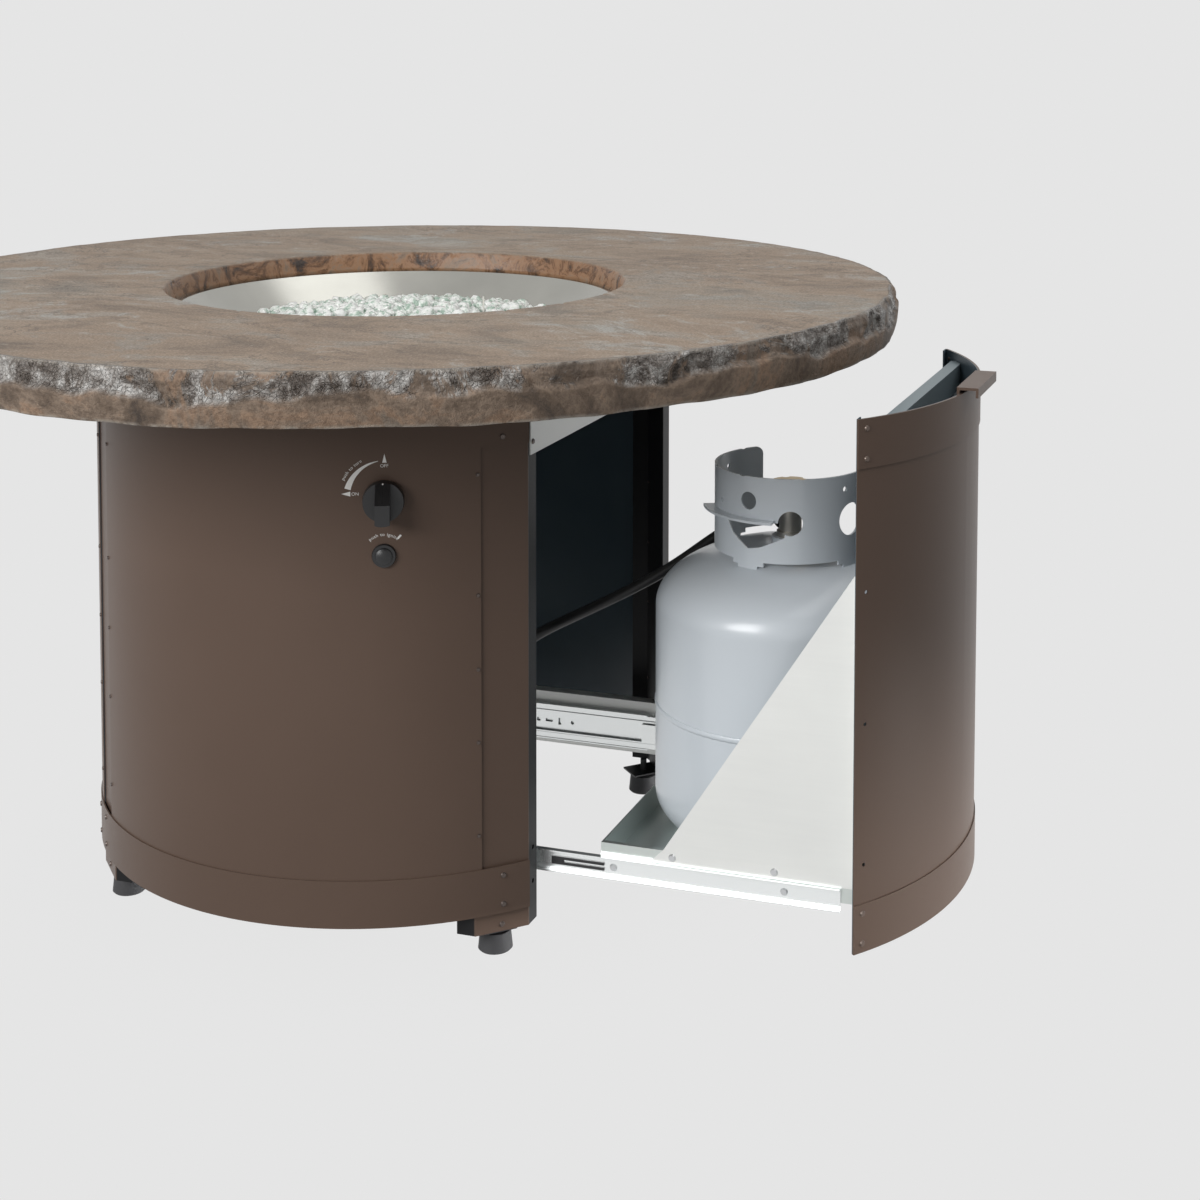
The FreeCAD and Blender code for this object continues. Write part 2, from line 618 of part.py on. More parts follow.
def feet():
    plates = []
    pads = []
    for index, angle in enumerate(DIAGONALS):
        inside = facetPlane - S.post_sheet
        floor = block("bracket_floor_%d" % index, inside - S.bracket_depth,
                      0 - S.bracket_width / 2, S.ground_gap - S.bracket_sheet,
                      S.bracket_depth, S.bracket_width, S.bracket_sheet)
        wall = block("bracket_wall_%d" % index, inside - S.bracket_sheet,
                     0 - S.bracket_width / 2, S.ground_gap - S.bracket_sheet, S.bracket_sheet,
                     S.bracket_width, S.bracket_rise)
        bits = [rod("bracket_stud_hole_%d" % index, S.stud_radius + S.hole_play, 10,
                    footDistance, 0, S.ground_gap - 6),
                rod("bracket_screw_hole_%d" % index, pinBore, 20,
                    inside - 10, 0, footScrewLevel, "x")]
        plate = cut("bracket_shape_%d" % index, join("bracket_whole_%d" % index, floor, wall),
                    *bits)
        plates.append(place(plate, turn=angle))
        pad = turned("foot_pad_%d" % index, [
            (0, 0), (S.foot_radius - S.foot_bevel, 0), (S.foot_radius, S.foot_bevel),
            (S.foot_radius - S.foot_bevel, S.foot_height), (S.stud_radius, S.foot_height),
            (S.stud_radius, S.ground_gap + S.stud_rise), (0, S.ground_gap + S.stud_rise)])
        nut = rod("foot_nut_%d" % index, S.stud_radius * 1.7, S.ground_gap - S.bracket_sheet
                  - S.foot_height, z=S.foot_height)
        spot = place(join("foot_shape_%d" % index, pad, nut), footDistance * cosine(angle),
                     footDistance * sine(angle))
        pads.append(spot)
    keep("foot_brackets", group("bracket_set", *plates))
    keep("levelling_feet", group("foot_set", *pads))


def channel(name, x, length, near, far, low, high, sheet, side):
    # a C section along X whose web stands at its far side and opens towards the middle
    near = asSize(near)
    far = asSize(far)
    tall = asSize(high) - low
    wide = far - near
    def slab(key, inner, thick, level, height):
        start = inner if side > 0 else 0 - inner - thick
        return block("%s_%s" % (name, key), x, start, level, length, thick, height)
    return [slab("web", far - sheet, sheet, asSize(low), tall),
            slab("top", near, wide, high - sheet, sheet),
            slab("foot", near, wide, asSize(low), sheet)]


def slides():
    level = S.slide_height
    sheet = S.slide_sheet
    inside = trayHalf
    outside = inside + S.slide_thick
    for name, side in ENDS:
        outer = channel("cabinet_" + name, outerRear, S.outer_length, inside + S.outer_gap, outside,
                        level - S.outer_tall / 2, level + S.outer_tall / 2, sheet, side)
        keep("slide_cabinet_" + name, join("cabinet_shape_" + name, *outer))

        half = S.middle_tall / 2
        far = outside - S.middle_far_gap
        middle = channel("middle_" + name, middleRear, S.middle_length, inside + S.middle_gap, far,
                         level - half, level + half, sheet, side)
        for key, low, tall, near in (
                ("low_out", level - half - S.ball_outer, S.ball_outer, S.ball_outer_gap),
                ("high_out", level + half, S.ball_outer, S.ball_outer_gap),
                ("low_in", level - half + sheet, S.ball_inner, S.ball_inner_gap),
                ("high_in", level + half - sheet - S.ball_inner, S.ball_inner,
                 S.ball_inner_gap)):
            start = inside + near if side > 0 else 0 - inside - near - S.ball_width
            middle.append(block("balls_%s_%s" % (key, name), middleRear, start, low,
                                S.middle_length, S.ball_width, tall))
        across = outside + S.bit_overrun
        webStart = inside - S.bit_overrun if side > 0 else 0 - across
        deep = across - inside + S.bit_overrun
        holes = [block("web_%s_%s" % (key, name), middleRear + rear, webStart, level - tall / 2,
                       long, deep, tall)
                 for key, rear, long, tall in (
                     ("square", S.web_square_in, S.web_square, S.web_square),
                     ("flat", S.web_flat_in, S.web_flat_long, S.web_flat_tall),
                     ("upright", S.web_upright_in, S.web_upright_long, S.web_upright_tall))]
        holes.append(rod("web_round_" + name, S.web_round, deep, middleRear + S.web_round_in,
                         webStart, level, "y"))
        member = cut("middle_shape_" + name, join("middle_whole_" + name, *middle), *holes)
        keep("slide_middle_" + name, member)
        bind(member, "Placement.Base.x", S.drawer_open / 2)

        half = S.inner_tall / 2
        web = block("drawer_member_web_" + name, innerRear,
                    inside if side > 0 else 0 - inside - sheet, level - half, S.inner_length, sheet,
                    S.inner_tall)
        lips = [block("drawer_member_lip_%s_%s" % (key, name), innerRear,
                      inside if side > 0 else 0 - inside - S.slide_thick / 2, low, S.inner_length,
                      S.slide_thick / 2, sheet)
                for key, low in (("low", level - half), ("high", level + half - sheet))]
        holes = [rod("drawer_member_hole_%s_%d" % (name, index), pinBore, deep,
                     seat, webStart, level, "y")
                 for index, seat in enumerate(slideSeats)]
        pivot = leverRear + S.pivot_set_in
        holes.append(rod("drawer_member_pivot_" + name, S.pivot_radius + S.hole_play, deep, pivot,
                         webStart, level, "y"))
        keep("slide_drawer_" + name, cut("drawer_member_shape_" + name,
                                         join("drawer_member_" + name, web, *lips), *holes),
             shifted=True)

        near = inside + sheet + S.lever_gap
        plate = block("lever_plate_" + name, leverRear,
                      near if side > 0 else 0 - near - S.lever_sheet, level - S.lever_width / 2,
                      S.lever_length, S.lever_sheet, S.lever_width)
        slot = block("lever_slot_" + name, leverRear + S.lever_solid, webStart,
                     level - S.lever_slot / 2, S.lever_length, deep, S.lever_slot)
        reach = sheet + S.lever_gap + S.lever_sheet
        pin = rod("lever_pin_" + name, S.pivot_radius, reach, pivot,
                  inside + S.hole_play if side > 0 else 0 - inside - S.hole_play - reach, level,
                  "y")
        keep("release_lever_" + name, join("lever_shape_" + name,
                                           cut("lever_fork_" + name, plate, slot), pin),
             shifted=True)


def carriers():
    outside = trayHalf + S.slide_thick
    tall = S.carrier_high - S.carrier_low
    sheet = S.rail_sheet
    length = (flangePlane - S.post_sheet) * 2
    for name, side in ENDS:
        def slab(key, x, inner, level, dx, thick, height):
            start = inner if side > 0 else 0 - inner - thick
            return block("carrier_%s_%s" % (key, name), x, start, level, dx, asSize(thick), height)
        rear = 0 - length / 2
        keep("slide_carrier_" + name, join(
            "carrier_shape_" + name,
            slab("web", rear, outside, S.carrier_low, length, sheet, tall),
            slab("top", rear, outside, S.carrier_high - sheet, length, S.carrier_depth, sheet),
            slab("foot", rear, outside, S.carrier_low, length, S.carrier_depth, sheet),
            slab("left", rear, outside, S.carrier_low, sheet, S.carrier_depth, tall),
            slab("right", length / 2 - sheet, outside, S.carrier_low, sheet, S.carrier_depth,
                 tall)))
    face = S.cross_rail_set_in - flangePlane
    back = face - S.cross_rail_depth
    keep("rear_cross_rail", extruded("cross_rail", "xz", [
        (face, S.carrier_low), (face, S.carrier_high), (back, S.carrier_high),
        (back, S.carrier_high - sheet), (face - sheet, S.carrier_high - sheet),
        (face - sheet, S.carrier_low + sheet), (back, S.carrier_low + sheet),
        (back, S.carrier_low)], outside * 2, 0 - outside))


def drawerTray():
    sheet = S.skin
    low = S.tray_floor
    length = trayFront - trayRear
    width = trayHalf * 2
    tall = S.tray_rim - low
    level = S.slide_height
    floor = block("tray_floor_plate", trayRear, 0 - trayHalf, low, length, width, sheet)
    apron = overlap("tray_apron",
                    block("tray_apron_plate", trayFront, 0 - trayHalf, low, 100, width,
                          sheet),
                    rod("tray_apron_round", S.base_radius, 60, z=low - 20))
    lip = sector("tray_lip", S.base_radius - sheet, S.base_radius, low, S.tray_lip,
                 0 - S.tray_lip_angle, S.tray_lip_angle * 2)
    rear = block("tray_back_wall", trayRear, 0 - trayHalf, low, sheet, width, tall)
    walls = []
    holes = [rod("tray_opening", S.tray_hole, 20, tankX, 0, low - 8)]
    for name, side in ENDS:
        start = trayHalf - sheet if side > 0 else 0 - trayHalf
        walls.append(block("tray_wall_" + name, trayRear, start, low, length, sheet, tall))
        start = trayHalf - S.tray_hem if side > 0 else 0 - trayHalf
        walls.append(block("tray_hem_" + name, trayRear, start, S.tray_rim - sheet, length,
                           S.tray_hem, sheet))
        start = trayHalf - 8 if side > 0 else 0 - trayHalf - 22
        for key, seats, height in (("gusset", traySeats, S.tray_rim - S.seat_drop),
                                   ("slide", slideSeats, level)):
            for index, seat in enumerate(seats):
                holes.append(rod("tray_%s_hole_%s_%d" % (key, name, index), pinBore, 30, seat,
                                 start, height, "y"))
    keep("drawer_tray", cut("tray_shape", join("tray_whole", floor, apron, lip, rear, *walls),
                            *holes), shifted=True)


def gussets():
    wide = doorSide - S.flange_gap - trayHalf
    for name, side in ENDS:
        plate = extruded("gusset_plate_" + name, "xz", [
            (gussetRear, S.gusset_low), (trayFront, S.gusset_low), (trayFront, S.gusset_top),
            (gussetRear + S.gusset_nose, S.gusset_low + S.gusset_toe)],
            S.skin, 0 - gussetOut if side > 0 else trayHalf)
        start = trayHalf if side > 0 else 0 - trayHalf - wide
        flange = block("gusset_flange_" + name, trayFront, start, S.gusset_low, S.skin,
                       wide, S.gusset_top - S.gusset_low)
        webStart = trayHalf - 8 if side > 0 else 0 - trayHalf - 22
        holes = [rod("gusset_hole_%s_%d" % (name, index), pinBore, 30, seat, webStart,
                     S.tray_rim - S.seat_drop, "y")
                 for index, seat in enumerate(traySeats)]
        holes += [rod("gusset_front_hole_%s_%d" % (name, index), pinBore, 20, trayFront - 8,
                      flangeSeat * side, seat, "x")
                  for index, seat in enumerate(flangeSeats)]
        keep("gusset_" + name, cut("gusset_shape_" + name,
                                   join("gusset_whole_" + name, plate, flange), *holes),
             shifted=True)


def door():
    tall = doorTop - doorLow
    skin = sector("door_skin", S.base_radius, panelOut, doorLow, tall, 0 - S.door_angle,
                  S.door_angle * 2)
    returns = []
    holes = [radial(bore("door_hole_%d" % index, reach), where, seat, level)
             for index, (where, seat, level, reach) in enumerate(DOOR_PINS)]
    for name, side in ENDS:
        start = doorSide - S.door_return - 1 if side > 0 else 1 - doorSide
        returns.append(block("door_return_" + name, doorEdge - S.skin, start, doorLow, S.skin,
                             S.door_return, tall))
        holes += [rod("door_flange_hole_%s_%d" % (name, index), pinBore, 20, trayFront - 8,
                      flangeSeat * side, seat, "x")
                  for index, seat in enumerate(flangeSeats)]
        holes.append(rod("door_handle_hole_" + name, pinBore, 30, handleInner - 6,
                         S.handle_screw_side * side, doorTop - S.handle_screw_drop, "x"))
    keep("door_panel", cut("door_shape", join("door_whole", skin, *returns), *holes),
         shifted=True)
    for key, low in (("top", bandHigh - S.door_drop), ("bottom", doorLow)):
        strip = sector("door_strip_" + key, panelOut, bandOut, low, S.band_height, 0 - S.door_angle,
                       S.door_angle * 2)
        bits = [radial(bore("door_strip_hole_%s_%d" % (key, index), reach), where, seat, level)
                for index, (where, seat, level, reach) in enumerate(DOOR_PINS)
                if low.value < level.value < (low + S.band_height).value]
        keep("door_%s_band" % key, cut("door_strip_shape_" + key, strip, *bits), shifted=True)

    high = doorTop - S.stiffener_drop
    low = high - S.stiffener_height
    left = trayFront + S.stiffener_set_out
    right = left + S.stiffener_width
    reach = doorSide - S.stiffener_gap
    bar = extruded("stiffener_bar", "xz", [
        (left, low), (left, high), (right, high), (right, low), (right - S.skin, low),
        (right - S.skin, high - S.skin), (left + S.skin, high - S.skin), (left + S.skin, low)],
        reach * 2, 0 - reach)
    keep("door_stiffener", overlap("stiffener_shape", bar,
                                   rod("stiffener_round", S.base_radius, S.top_height)),
         shifted=True)

    half = S.handle_width / 2
    thick = S.handle_sheet
    inner = handleInner
    outer = bandOut + S.handle_reach
    low = doorTop + S.handle_rise
    high = low + thick
    leg = doorTop - S.handle_leg
    lip = high - S.handle_lip
    grip = extruded("handle_bar", "xz", [
        (inner, leg), (inner, high), (outer, high), (outer, lip), (outer - thick, lip),
        (outer - thick, low), (inner + thick, low), (inner + thick, leg)],
        S.handle_width, 0 - half)
    bits = [rod("handle_hole_" + name, pinBore, 14, inner - 6, S.handle_screw_side * side,
                doorTop - S.handle_screw_drop, "x") for name, side in ENDS]
    keep("door_handle", cut("handle_shape", grip, *bits), shifted=True)


def controls():
    # local Z points outwards, measured from the outside of the front panel
    stemIn = valveOuter - 1 - panelOut
    body = rod("valve_block", S.valve_radius, S.valve_length, z=valveInner - panelOut)
    bushing = rod("valve_bushing", S.bushing_radius, panelOut - valveOuter + 1.5,
                  z=valveOuter - panelOut)
    nut = rod("valve_nut", S.bushing_radius + 2, 2, z=0)
    back = rod("valve_seat", S.bushing_radius + 4, 3, z=0 - S.skin - 3.3)
    inlet = rod("valve_inlet", S.inlet_radius, S.inlet_reach, 0, 0 - S.inlet_reach,
                valveInner + S.inlet_set_in - panelOut, "y")
    outlet = rod("valve_outlet", S.outlet_radius, S.inlet_reach, 0, 0,
                 valveOuter - S.outlet_set_in - panelOut, "y")
    drilled = rod("valve_bore", S.stem_radius + S.hole_play, 80, z=stemIn - 8)
    valve = cut("valve_shape", join("valve_whole", body, bushing, nut, back, inlet, outlet),
                drilled)
    keep("control_valve", radial(valve, S.control_angle, panelOut, knobLevel))
    stem = group("stem_shape", rod("stem_rod", S.stem_radius, S.knob_gap + S.stem_grip - stemIn,
                                   z=stemIn))
    keep("valve_stem", radial(stem, S.control_angle, panelOut, knobLevel))

    deep = S.knob_depth
    wide = S.knob_radius
    narrow = wide - S.knob_taper
    skirt = doc.addObject("Part::Cone", "knob_skirt_cone")
    bind(skirt, "Radius1", wide)
    bind(skirt, "Radius2", narrow)
    bind(skirt, "Height", S.knob_skirt)
    bar = overlap("knob_grip", block("knob_grip_block", 0 - S.knob_bar / 2, 0 - wide, 0,
                                     S.knob_bar, wide * 2, deep),
                  rod("knob_grip_round", narrow, deep))
    slope = extruded("knob_slope", "yz", [(0, deep + 1), (wide + 1, deep + 1),
                                          (wide + 1, S.knob_skirt)], S.knob_bar + 2,
                     0 - S.knob_bar / 2 - 1)
    hollow = [rod("knob_recess_cut", S.knob_recess, 4, z=-1),
              rod("knob_socket", S.stem_radius + S.hole_play * 0.75, S.stem_grip + 2.5, z=-1)]
    knob = cut("knob_shape", join("knob_whole", skirt, bar), slope, *hollow)
    keep("control_knob", radial(knob, S.control_angle, panelOut + S.knob_gap, knobLevel))

    bezel = doc.addObject("Part::Cone", "igniter_bezel")
    bind(bezel, "Radius1", S.igniter_radius)
    bind(bezel, "Radius2", S.igniter_radius - 1)
    bind(bezel, "Height", S.igniter_rim)
    case = rod("igniter_case", S.igniter_radius - S.igniter_wall - 0.4, S.igniter_length,
               z=0 - S.igniter_length)
    lock = rod("igniter_lock", S.igniter_radius + 2, 4, z=0 - S.skin - 4.35)
    terminal = rod("igniter_terminal", 2.5, 16, 0, 0, -40, "x")
    seat = rod("igniter_bore", S.button_radius + 0.3, 30, z=-14)
    module = cut("igniter_shape", join("igniter_whole", bezel, case, lock, terminal), seat)
    keep("igniter_module", radial(module, S.control_angle, panelOut, igniterLevel))
    dome = doc.addObject("Part::Sphere", "button_sphere")
    bind(dome, "Radius", S.button_dome)
    place(dome, 0, 0, S.button_length - S.button_sunk - 2.5 - S.button_dome)
    button = overlap("button_shape", rod("button_rod", S.button_radius, S.button_length,
                                         z=0 - S.button_sunk), dome)
    keep("igniter_button", radial(button, S.control_angle, panelOut, igniterLevel))


def halfDome(name, radius, depth, level, upper):
    dome = doc.addObject("Part::Ellipsoid", name)
    bind(dome, "Radius1", depth)
    bind(dome, "Radius2", radius)
    bind(dome, "Radius3", radius)
    dome.Angle1 = 0 if upper else -90
    dome.Angle2 = 90 if upper else 0
    return place(dome, tankX, 0, level)


def tankSolid(name, wall):
    return join(name, rod(name + "_wall", S.tank_radius - wall, S.tank_high - S.tank_low,
                          tankX, 0, S.tank_low),
                halfDome(name + "_low", S.tank_radius - wall, S.tank_dome - wall, S.tank_low,
                         False),
                halfDome(name + "_high", S.tank_radius - wall, S.tank_dome - wall, S.tank_high,
                         True))


def aroundTank(thing):
    # modelled about the Z axis, then set on the tank's own axis
    return group(thing.Name + "_set", place(thing, tankX, 0, 0))


def tank():
    crown = S.tank_high + S.tank_dome
    spot = (tankX, 0)
    solid = tankSolid("tank_outside", asSize(0))
    boss = rod("tank_boss", S.neck_radius + 6, 12, *spot, crown - 6)
    hollow = tankSolid("tank_inside", S.tank_wall)
    opening = rod("tank_opening", S.neck_radius + 0.2, 40, *spot, crown - 20)
    keep("tank_vessel", cut("vessel_shape", join("vessel_outside", solid, boss), hollow, opening),
         shifted=True)

    ringHigh = S.tank_low - S.foot_ring_low
    ringOut = rod("ring_outside", S.foot_ring_radius, ringHigh, *spot, S.foot_ring_low)
    ringIn = rod("ring_inside", S.foot_ring_radius - S.collar_wall, ringHigh + 2, *spot,
                 S.foot_ring_low - 1)
    vent = block("ring_vent", tankX - S.foot_ring_radius * 1.3, 0 - S.vent_width / 2,
                 S.foot_ring_low - 1, S.foot_ring_radius * 2.6, S.vent_width, S.vent_height + 1)
    keep("tank_foot_ring", cut("foot_ring_shape", ringOut, ringIn, solid, vent), shifted=True)

    wall = S.collar_wall
    radius = S.collar_radius
    low = S.collar_low
    high = S.collar_high
    end = S.collar_start + S.collar_span
    inner = radius - wall
    band = sector("collar_band", inner, radius, low, high - low, S.collar_start, S.collar_span)
    tabs = [sector("collar_tab_%d" % index, inner, radius, low - drop, drop + 1, start, span)
            for index, (start, span, drop) in enumerate((
                (-116, 17, 20), (-121, 27, 5), (-31, 17, 20), (-36, 27, 5), (150, 17, 20),
                (145, 27, 5)))]
    grip = sector("collar_grip", inner, radius + S.grip_reach, low + S.grip_rise, wall,
                  S.grip_start, S.grip_span)
    # the hand hole's outline by its angle on the collar and its height over the lower edge
    handHole = extruded("hand_hole", "xz", [
        (tankX + radius * cosine(angle), low + rise) for angle, rise in (
            (-150, 46), (-129, 44), (-121, 28), (-114, 21), (-107, 14), (-97, 17), (-85, 25),
            (-78, 30), (-78, 46))], radius, radius * 0.2)
    bits = [radial(group("collar_round_%d" % index, rod("collar_bit_%d" % index, size, 20,
                                                          z=-10)), angle, radius, low + rise)
              for index, (angle, rise, size) in enumerate((
                  (-74, 46, 14), (-106.5, 68.5, 10), (-136, 61, 2.8), (-30, 80, 3.2),
                  (165, 80, 3.2), (-23.3, 44.5, 18.5), (-112, 103, 8), (-65, 103, 8),
                  (146, 103, 8), (-150, 103, 8)))]
    back = sector("collar_back_window", inner - 5, radius + 5, low + 24, 38, -8, 34)
    corners = []
    for index, (angle, side) in enumerate(((S.collar_start, 1), (end, -1))):
        size = S.collar_corner
        start = 0 - 1 if side > 0 else 0 - size
        waste = cut("collar_waste_%d" % index,
                    block("collar_waste_block_%d" % index, start, 0 - size, -10, size + 1,
                          size + 1, 20),
                    rod("collar_waste_round_%d" % index, size, 24, size * side, 0 - size, -12))
        corners.append(radial(group("collar_corner_%d" % index, waste), angle, radius, high))
    keep("tank_collar", join(
        "collar_shape",
        cut("collar_open", aroundTank(join("collar_whole", band, *tabs)), handHole,
            aroundTank(group("collar_holes", *bits, back, *corners)), solid),
        aroundTank(grip)), shifted=True)

    top = S.outlet_height + S.valve_body_rise
    port = radial(group("valve_port_place", rod("valve_port", S.port_radius, S.outlet_reach)),
                  S.outlet_angle, 0, S.outlet_height)
    body = join("bottle_valve_whole",
                rod("bottle_valve_neck", S.neck_radius, 26, 0, 0, crown - 14),
                rod("bottle_valve_body", S.valve_body_radius, top - crown, 0, 0, crown),
                rod("bottle_valve_spindle", S.spindle_radius, S.spindle_length, 0, 0, top), port)
    keep("tank_valve", aroundTank(body), shifted=True)
    wheel = cut("wheel_whole", rod("wheel_rim", S.wheel_radius, S.wheel_height, 0, 0,
                                   top + S.wheel_gap),
                rod("wheel_socket", S.spindle_radius + S.hole_play,
                    S.spindle_length + S.hole_play, 0, 0, top),
                *[rod("wheel_notch_%d" % index, S.wheel_notch, S.wheel_height + 2,
                      (S.wheel_radius + 2) * cosine(60 * index),
                      (S.wheel_radius + 2) * sine(60 * index), top + S.wheel_gap - 1)
                  for index in range(6)])
    keep("tank_handwheel", aroundTank(wheel), shifted=True)
    nut = join("connector_whole",
               rod("connector_grip", S.nut_radius, S.nut_length, z=S.outlet_reach),
               rod("connector_tail", 8, S.nut_tail, z=S.outlet_reach + S.nut_length))
    connector = group("connector_place", radial(nut, S.outlet_angle, 0, S.outlet_height))
    keep("connector_nut", aroundTank(connector), shifted=True)


def tube(name, points, radius):
    # straight runs joined by tangent arcs; the radius of each arc follows the shorter run
    corners = [Vector(*[asSize(number).value for number in point]) for point in points]
    edges = []
    here = corners[0]
    for before, corner, after in zip(corners, corners[1:], corners[2:]):
        into = (corner - before).normalize()
        out = (after - corner).normalize()
        half = into.getAngle(out) / 2
        run = 0.45 * min((corner - before).Length, (after - corner).Length)
        start = corner - into * run
        end = corner + out * run
        bend = run / math.tan(half)
        inward = (out - into).normalize()
        middle = corner + inward * (bend / math.cos(half) - bend)
        edges.append(Part.LineSegment(here, start).toShape())
        edges.append(Part.Arc(start, middle, end).toShape())
        here = end
    edges.append(Part.LineSegment(here, corners[-1]).toShape())
    path = Part.Wire(edges)
    circle = Part.Circle(corners[0], corners[1] - corners[0], sheet.get(radius))
    solid = path.makePipeShell([Part.Wire([circle.toShape()])], True, False)
    thing = doc.addObject("Part::Feature", name)
    thing.Shape = solid
    print(name, "length", round(path.Length, 1), "volume over section times length",
          round(solid.Volume / (math.pi * sheet.get(radius) ** 2 * path.Length), 4))
    return thing


def alongControl(distance, sideways, level):
    heading = S.control_angle
    return (distance * cosine(heading) - sideways * sine(heading),
            distance * sine(heading) + sideways * cosine(heading), level)


def lines():
    middle = asSize(0)
    keep("burner_gas_line", tube("gas_line_tube", [
        alongControl(valveOuter - S.outlet_set_in, middle, knobLevel + S.inlet_reach),
        alongControl(valveOuter - S.outlet_set_in, middle, lineLevel),
        alongControl(S.mixer_boss, middle, lineLevel)], "line_radius"))
    module = alongControl(panelOut - 40, asSize(16), igniterLevel)
    side = alongControl(panelOut - 40, asSize(48), igniterLevel)
    keep("ignition_lead", tube("lead_tube", [
        module, side, (side[0], side[1], lineLevel + 5),
        (S.electrode_x, S.electrode_y, lineLevel - 8),
        (S.electrode_x, S.electrode_y, ceramicLow)], "lead_radius"))
    outlet = []
    for extra in (0, S.hose_lead):
        reach = S.outlet_reach + S.nut_length + S.nut_tail + extra
        outlet.append((tankX + S.drawer_open + reach * cosine(S.outlet_angle),
                       reach * sine(S.outlet_angle), S.outlet_height))
    inlet = alongControl(valveInner + S.inlet_set_in, middle, knobLevel - S.inlet_reach)
    keep("gas_hose", tube("hose_tube", outlet + [
        (430, 108, 424), (381, 86, 391), (335, 54, 356), (286, 32, 328), (232, 22, 300),
        (178, 14, 272), (142, -30, 246), (128, -90, 236), (122, -152, 252), (116, -215, 304),
        (inlet[0], inlet[1], inlet[2] - S.hose_rise), inlet], "hose_radius"))


def fasteners():
    base = [radial(pin("band_pin_%d" % index, reach), where, seat, level)
            for index, (where, seat, level, reach) in enumerate(BAND_PINS + FOOT_PINS)]
    for index, angle in enumerate(DIAGONALS):
        seat = pin("deck_pin_%d" % index, S.deck_screw_depth)
        place(seat, deckScrew * cosine(angle), deckScrew * sine(angle),
              deckLow - S.post_sheet, 180, (1, 0, 0))
        base.append(seat)
    for name, heading in (("header", 0),) + SIDES:
        for side in (-1, 1):
            out = railOut * cosine(heading) - railScrewPlace * sine(heading) * side
            across = railOut * sine(heading) + railScrewPlace * cosine(heading) * side
            base.append(aimed(pin("rail_pin_%s_%d" % (name, side), S.rail_pin), out, across,
                              railScrewLevel, heading))
    keep("base_screws", group("base_screw_set", *base))
    keep("panel_rivets", group("rivet_set", *[
        radial(pin("rivet_%d" % index, reach, rivet=True), where, seat, level)
        for index, (where, seat, level, reach) in enumerate(RIVETS)]))

    drawer = [radial(pin("door_pin_%d" % index, reach), where, seat, level)
              for index, (where, seat, level, reach) in enumerate(DOOR_PINS)]
    for name, side in ENDS:
        drawer.append(aimed(pin("handle_pin_" + name, S.handle_pin), handleInner,
                            S.handle_screw_side * side, doorTop - S.handle_screw_drop, 180))
        drawer += [aimed(pin("tray_pin_%s_%d" % (name, index), S.tray_pin,
                             wide=S.pan_head_radius),
                         seat, gussetOut * side, S.tray_rim - S.seat_drop, 90 * side)
                   for index, seat in enumerate(traySeats)]
        drawer += [aimed(pin("slide_pin_%s_%d" % (name, index), S.slide_pin,
                             wide=S.pan_head_radius),
                         seat, (trayHalf + S.slide_sheet) * side, S.slide_height, 90 * side)
                   for index, seat in enumerate(slideSeats)]
        drawer += [aimed(pin("flange_pin_%s_%d" % (name, index), S.flange_pin), doorEdge,
                         flangeSeat * side, seat, 0)
                   for index, seat in enumerate(flangeSeats)]
    keep("drawer_screws", group("drawer_screw_set", *drawer), shifted=True)


stoneTop()
burner()
posts()
topRails()
panels()
heatShield()
feet()
slides()
carriers()
drawerTray()
gussets()
door()
controls()
tank()
lines()
fasteners()
doc.recompute()

troubles = []
for thing in doc.Objects:
    if any(word in thing.State for word in ("Invalid", "Error")):
        troubles.append(thing.Name)
for name, thing in parts.items():
    if thing.Shape.isNull() or not thing.Shape.isValid():
        troubles.append(name)
if troubles:
    raise RuntimeError("these shapes failed: " + ", ".join(troubles))
os.makedirs("parts", exist_ok=True)
for name, thing in parts.items():
    thing.Shape.exportStep("parts/%s.step" % name)
print(len(parts), "pieces written")
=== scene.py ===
import bpy
import math
import numpy as np
from mathutils import Matrix, Vector


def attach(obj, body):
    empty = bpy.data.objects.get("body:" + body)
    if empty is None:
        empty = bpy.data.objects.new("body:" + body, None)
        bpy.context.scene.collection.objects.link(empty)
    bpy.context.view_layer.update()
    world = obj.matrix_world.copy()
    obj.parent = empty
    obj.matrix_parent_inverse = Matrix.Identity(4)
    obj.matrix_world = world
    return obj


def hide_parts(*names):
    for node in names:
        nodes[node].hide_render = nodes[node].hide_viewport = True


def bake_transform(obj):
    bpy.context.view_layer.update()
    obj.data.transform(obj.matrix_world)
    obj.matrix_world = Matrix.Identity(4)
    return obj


# A round stone-topped fire pit table whose door slides out as a drawer with the gas tank.
# Metres, +Z up, +X the way the drawer slides, -Y the side with the controls.

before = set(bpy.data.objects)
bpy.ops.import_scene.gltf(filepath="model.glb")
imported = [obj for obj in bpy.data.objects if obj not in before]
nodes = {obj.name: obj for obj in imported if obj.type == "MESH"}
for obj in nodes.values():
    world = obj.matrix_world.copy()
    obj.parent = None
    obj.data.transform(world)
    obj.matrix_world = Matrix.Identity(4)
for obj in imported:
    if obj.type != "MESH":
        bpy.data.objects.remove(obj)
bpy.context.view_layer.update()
print("frame loaded:", len(nodes), "nodes")

# the drum's axis and its panels' outer radius, the drawer's travel, the tank's axis, and where
# the controls sit on the drum
table = {"axis": -0.060, "panelOut": 0.3535, "drawerOut": 0.359, "tankX": 0.440,
         "controlAngle": -65.5, "knobLevel": 0.514, "igniterLevel": 0.454}


# shader maths as expressions

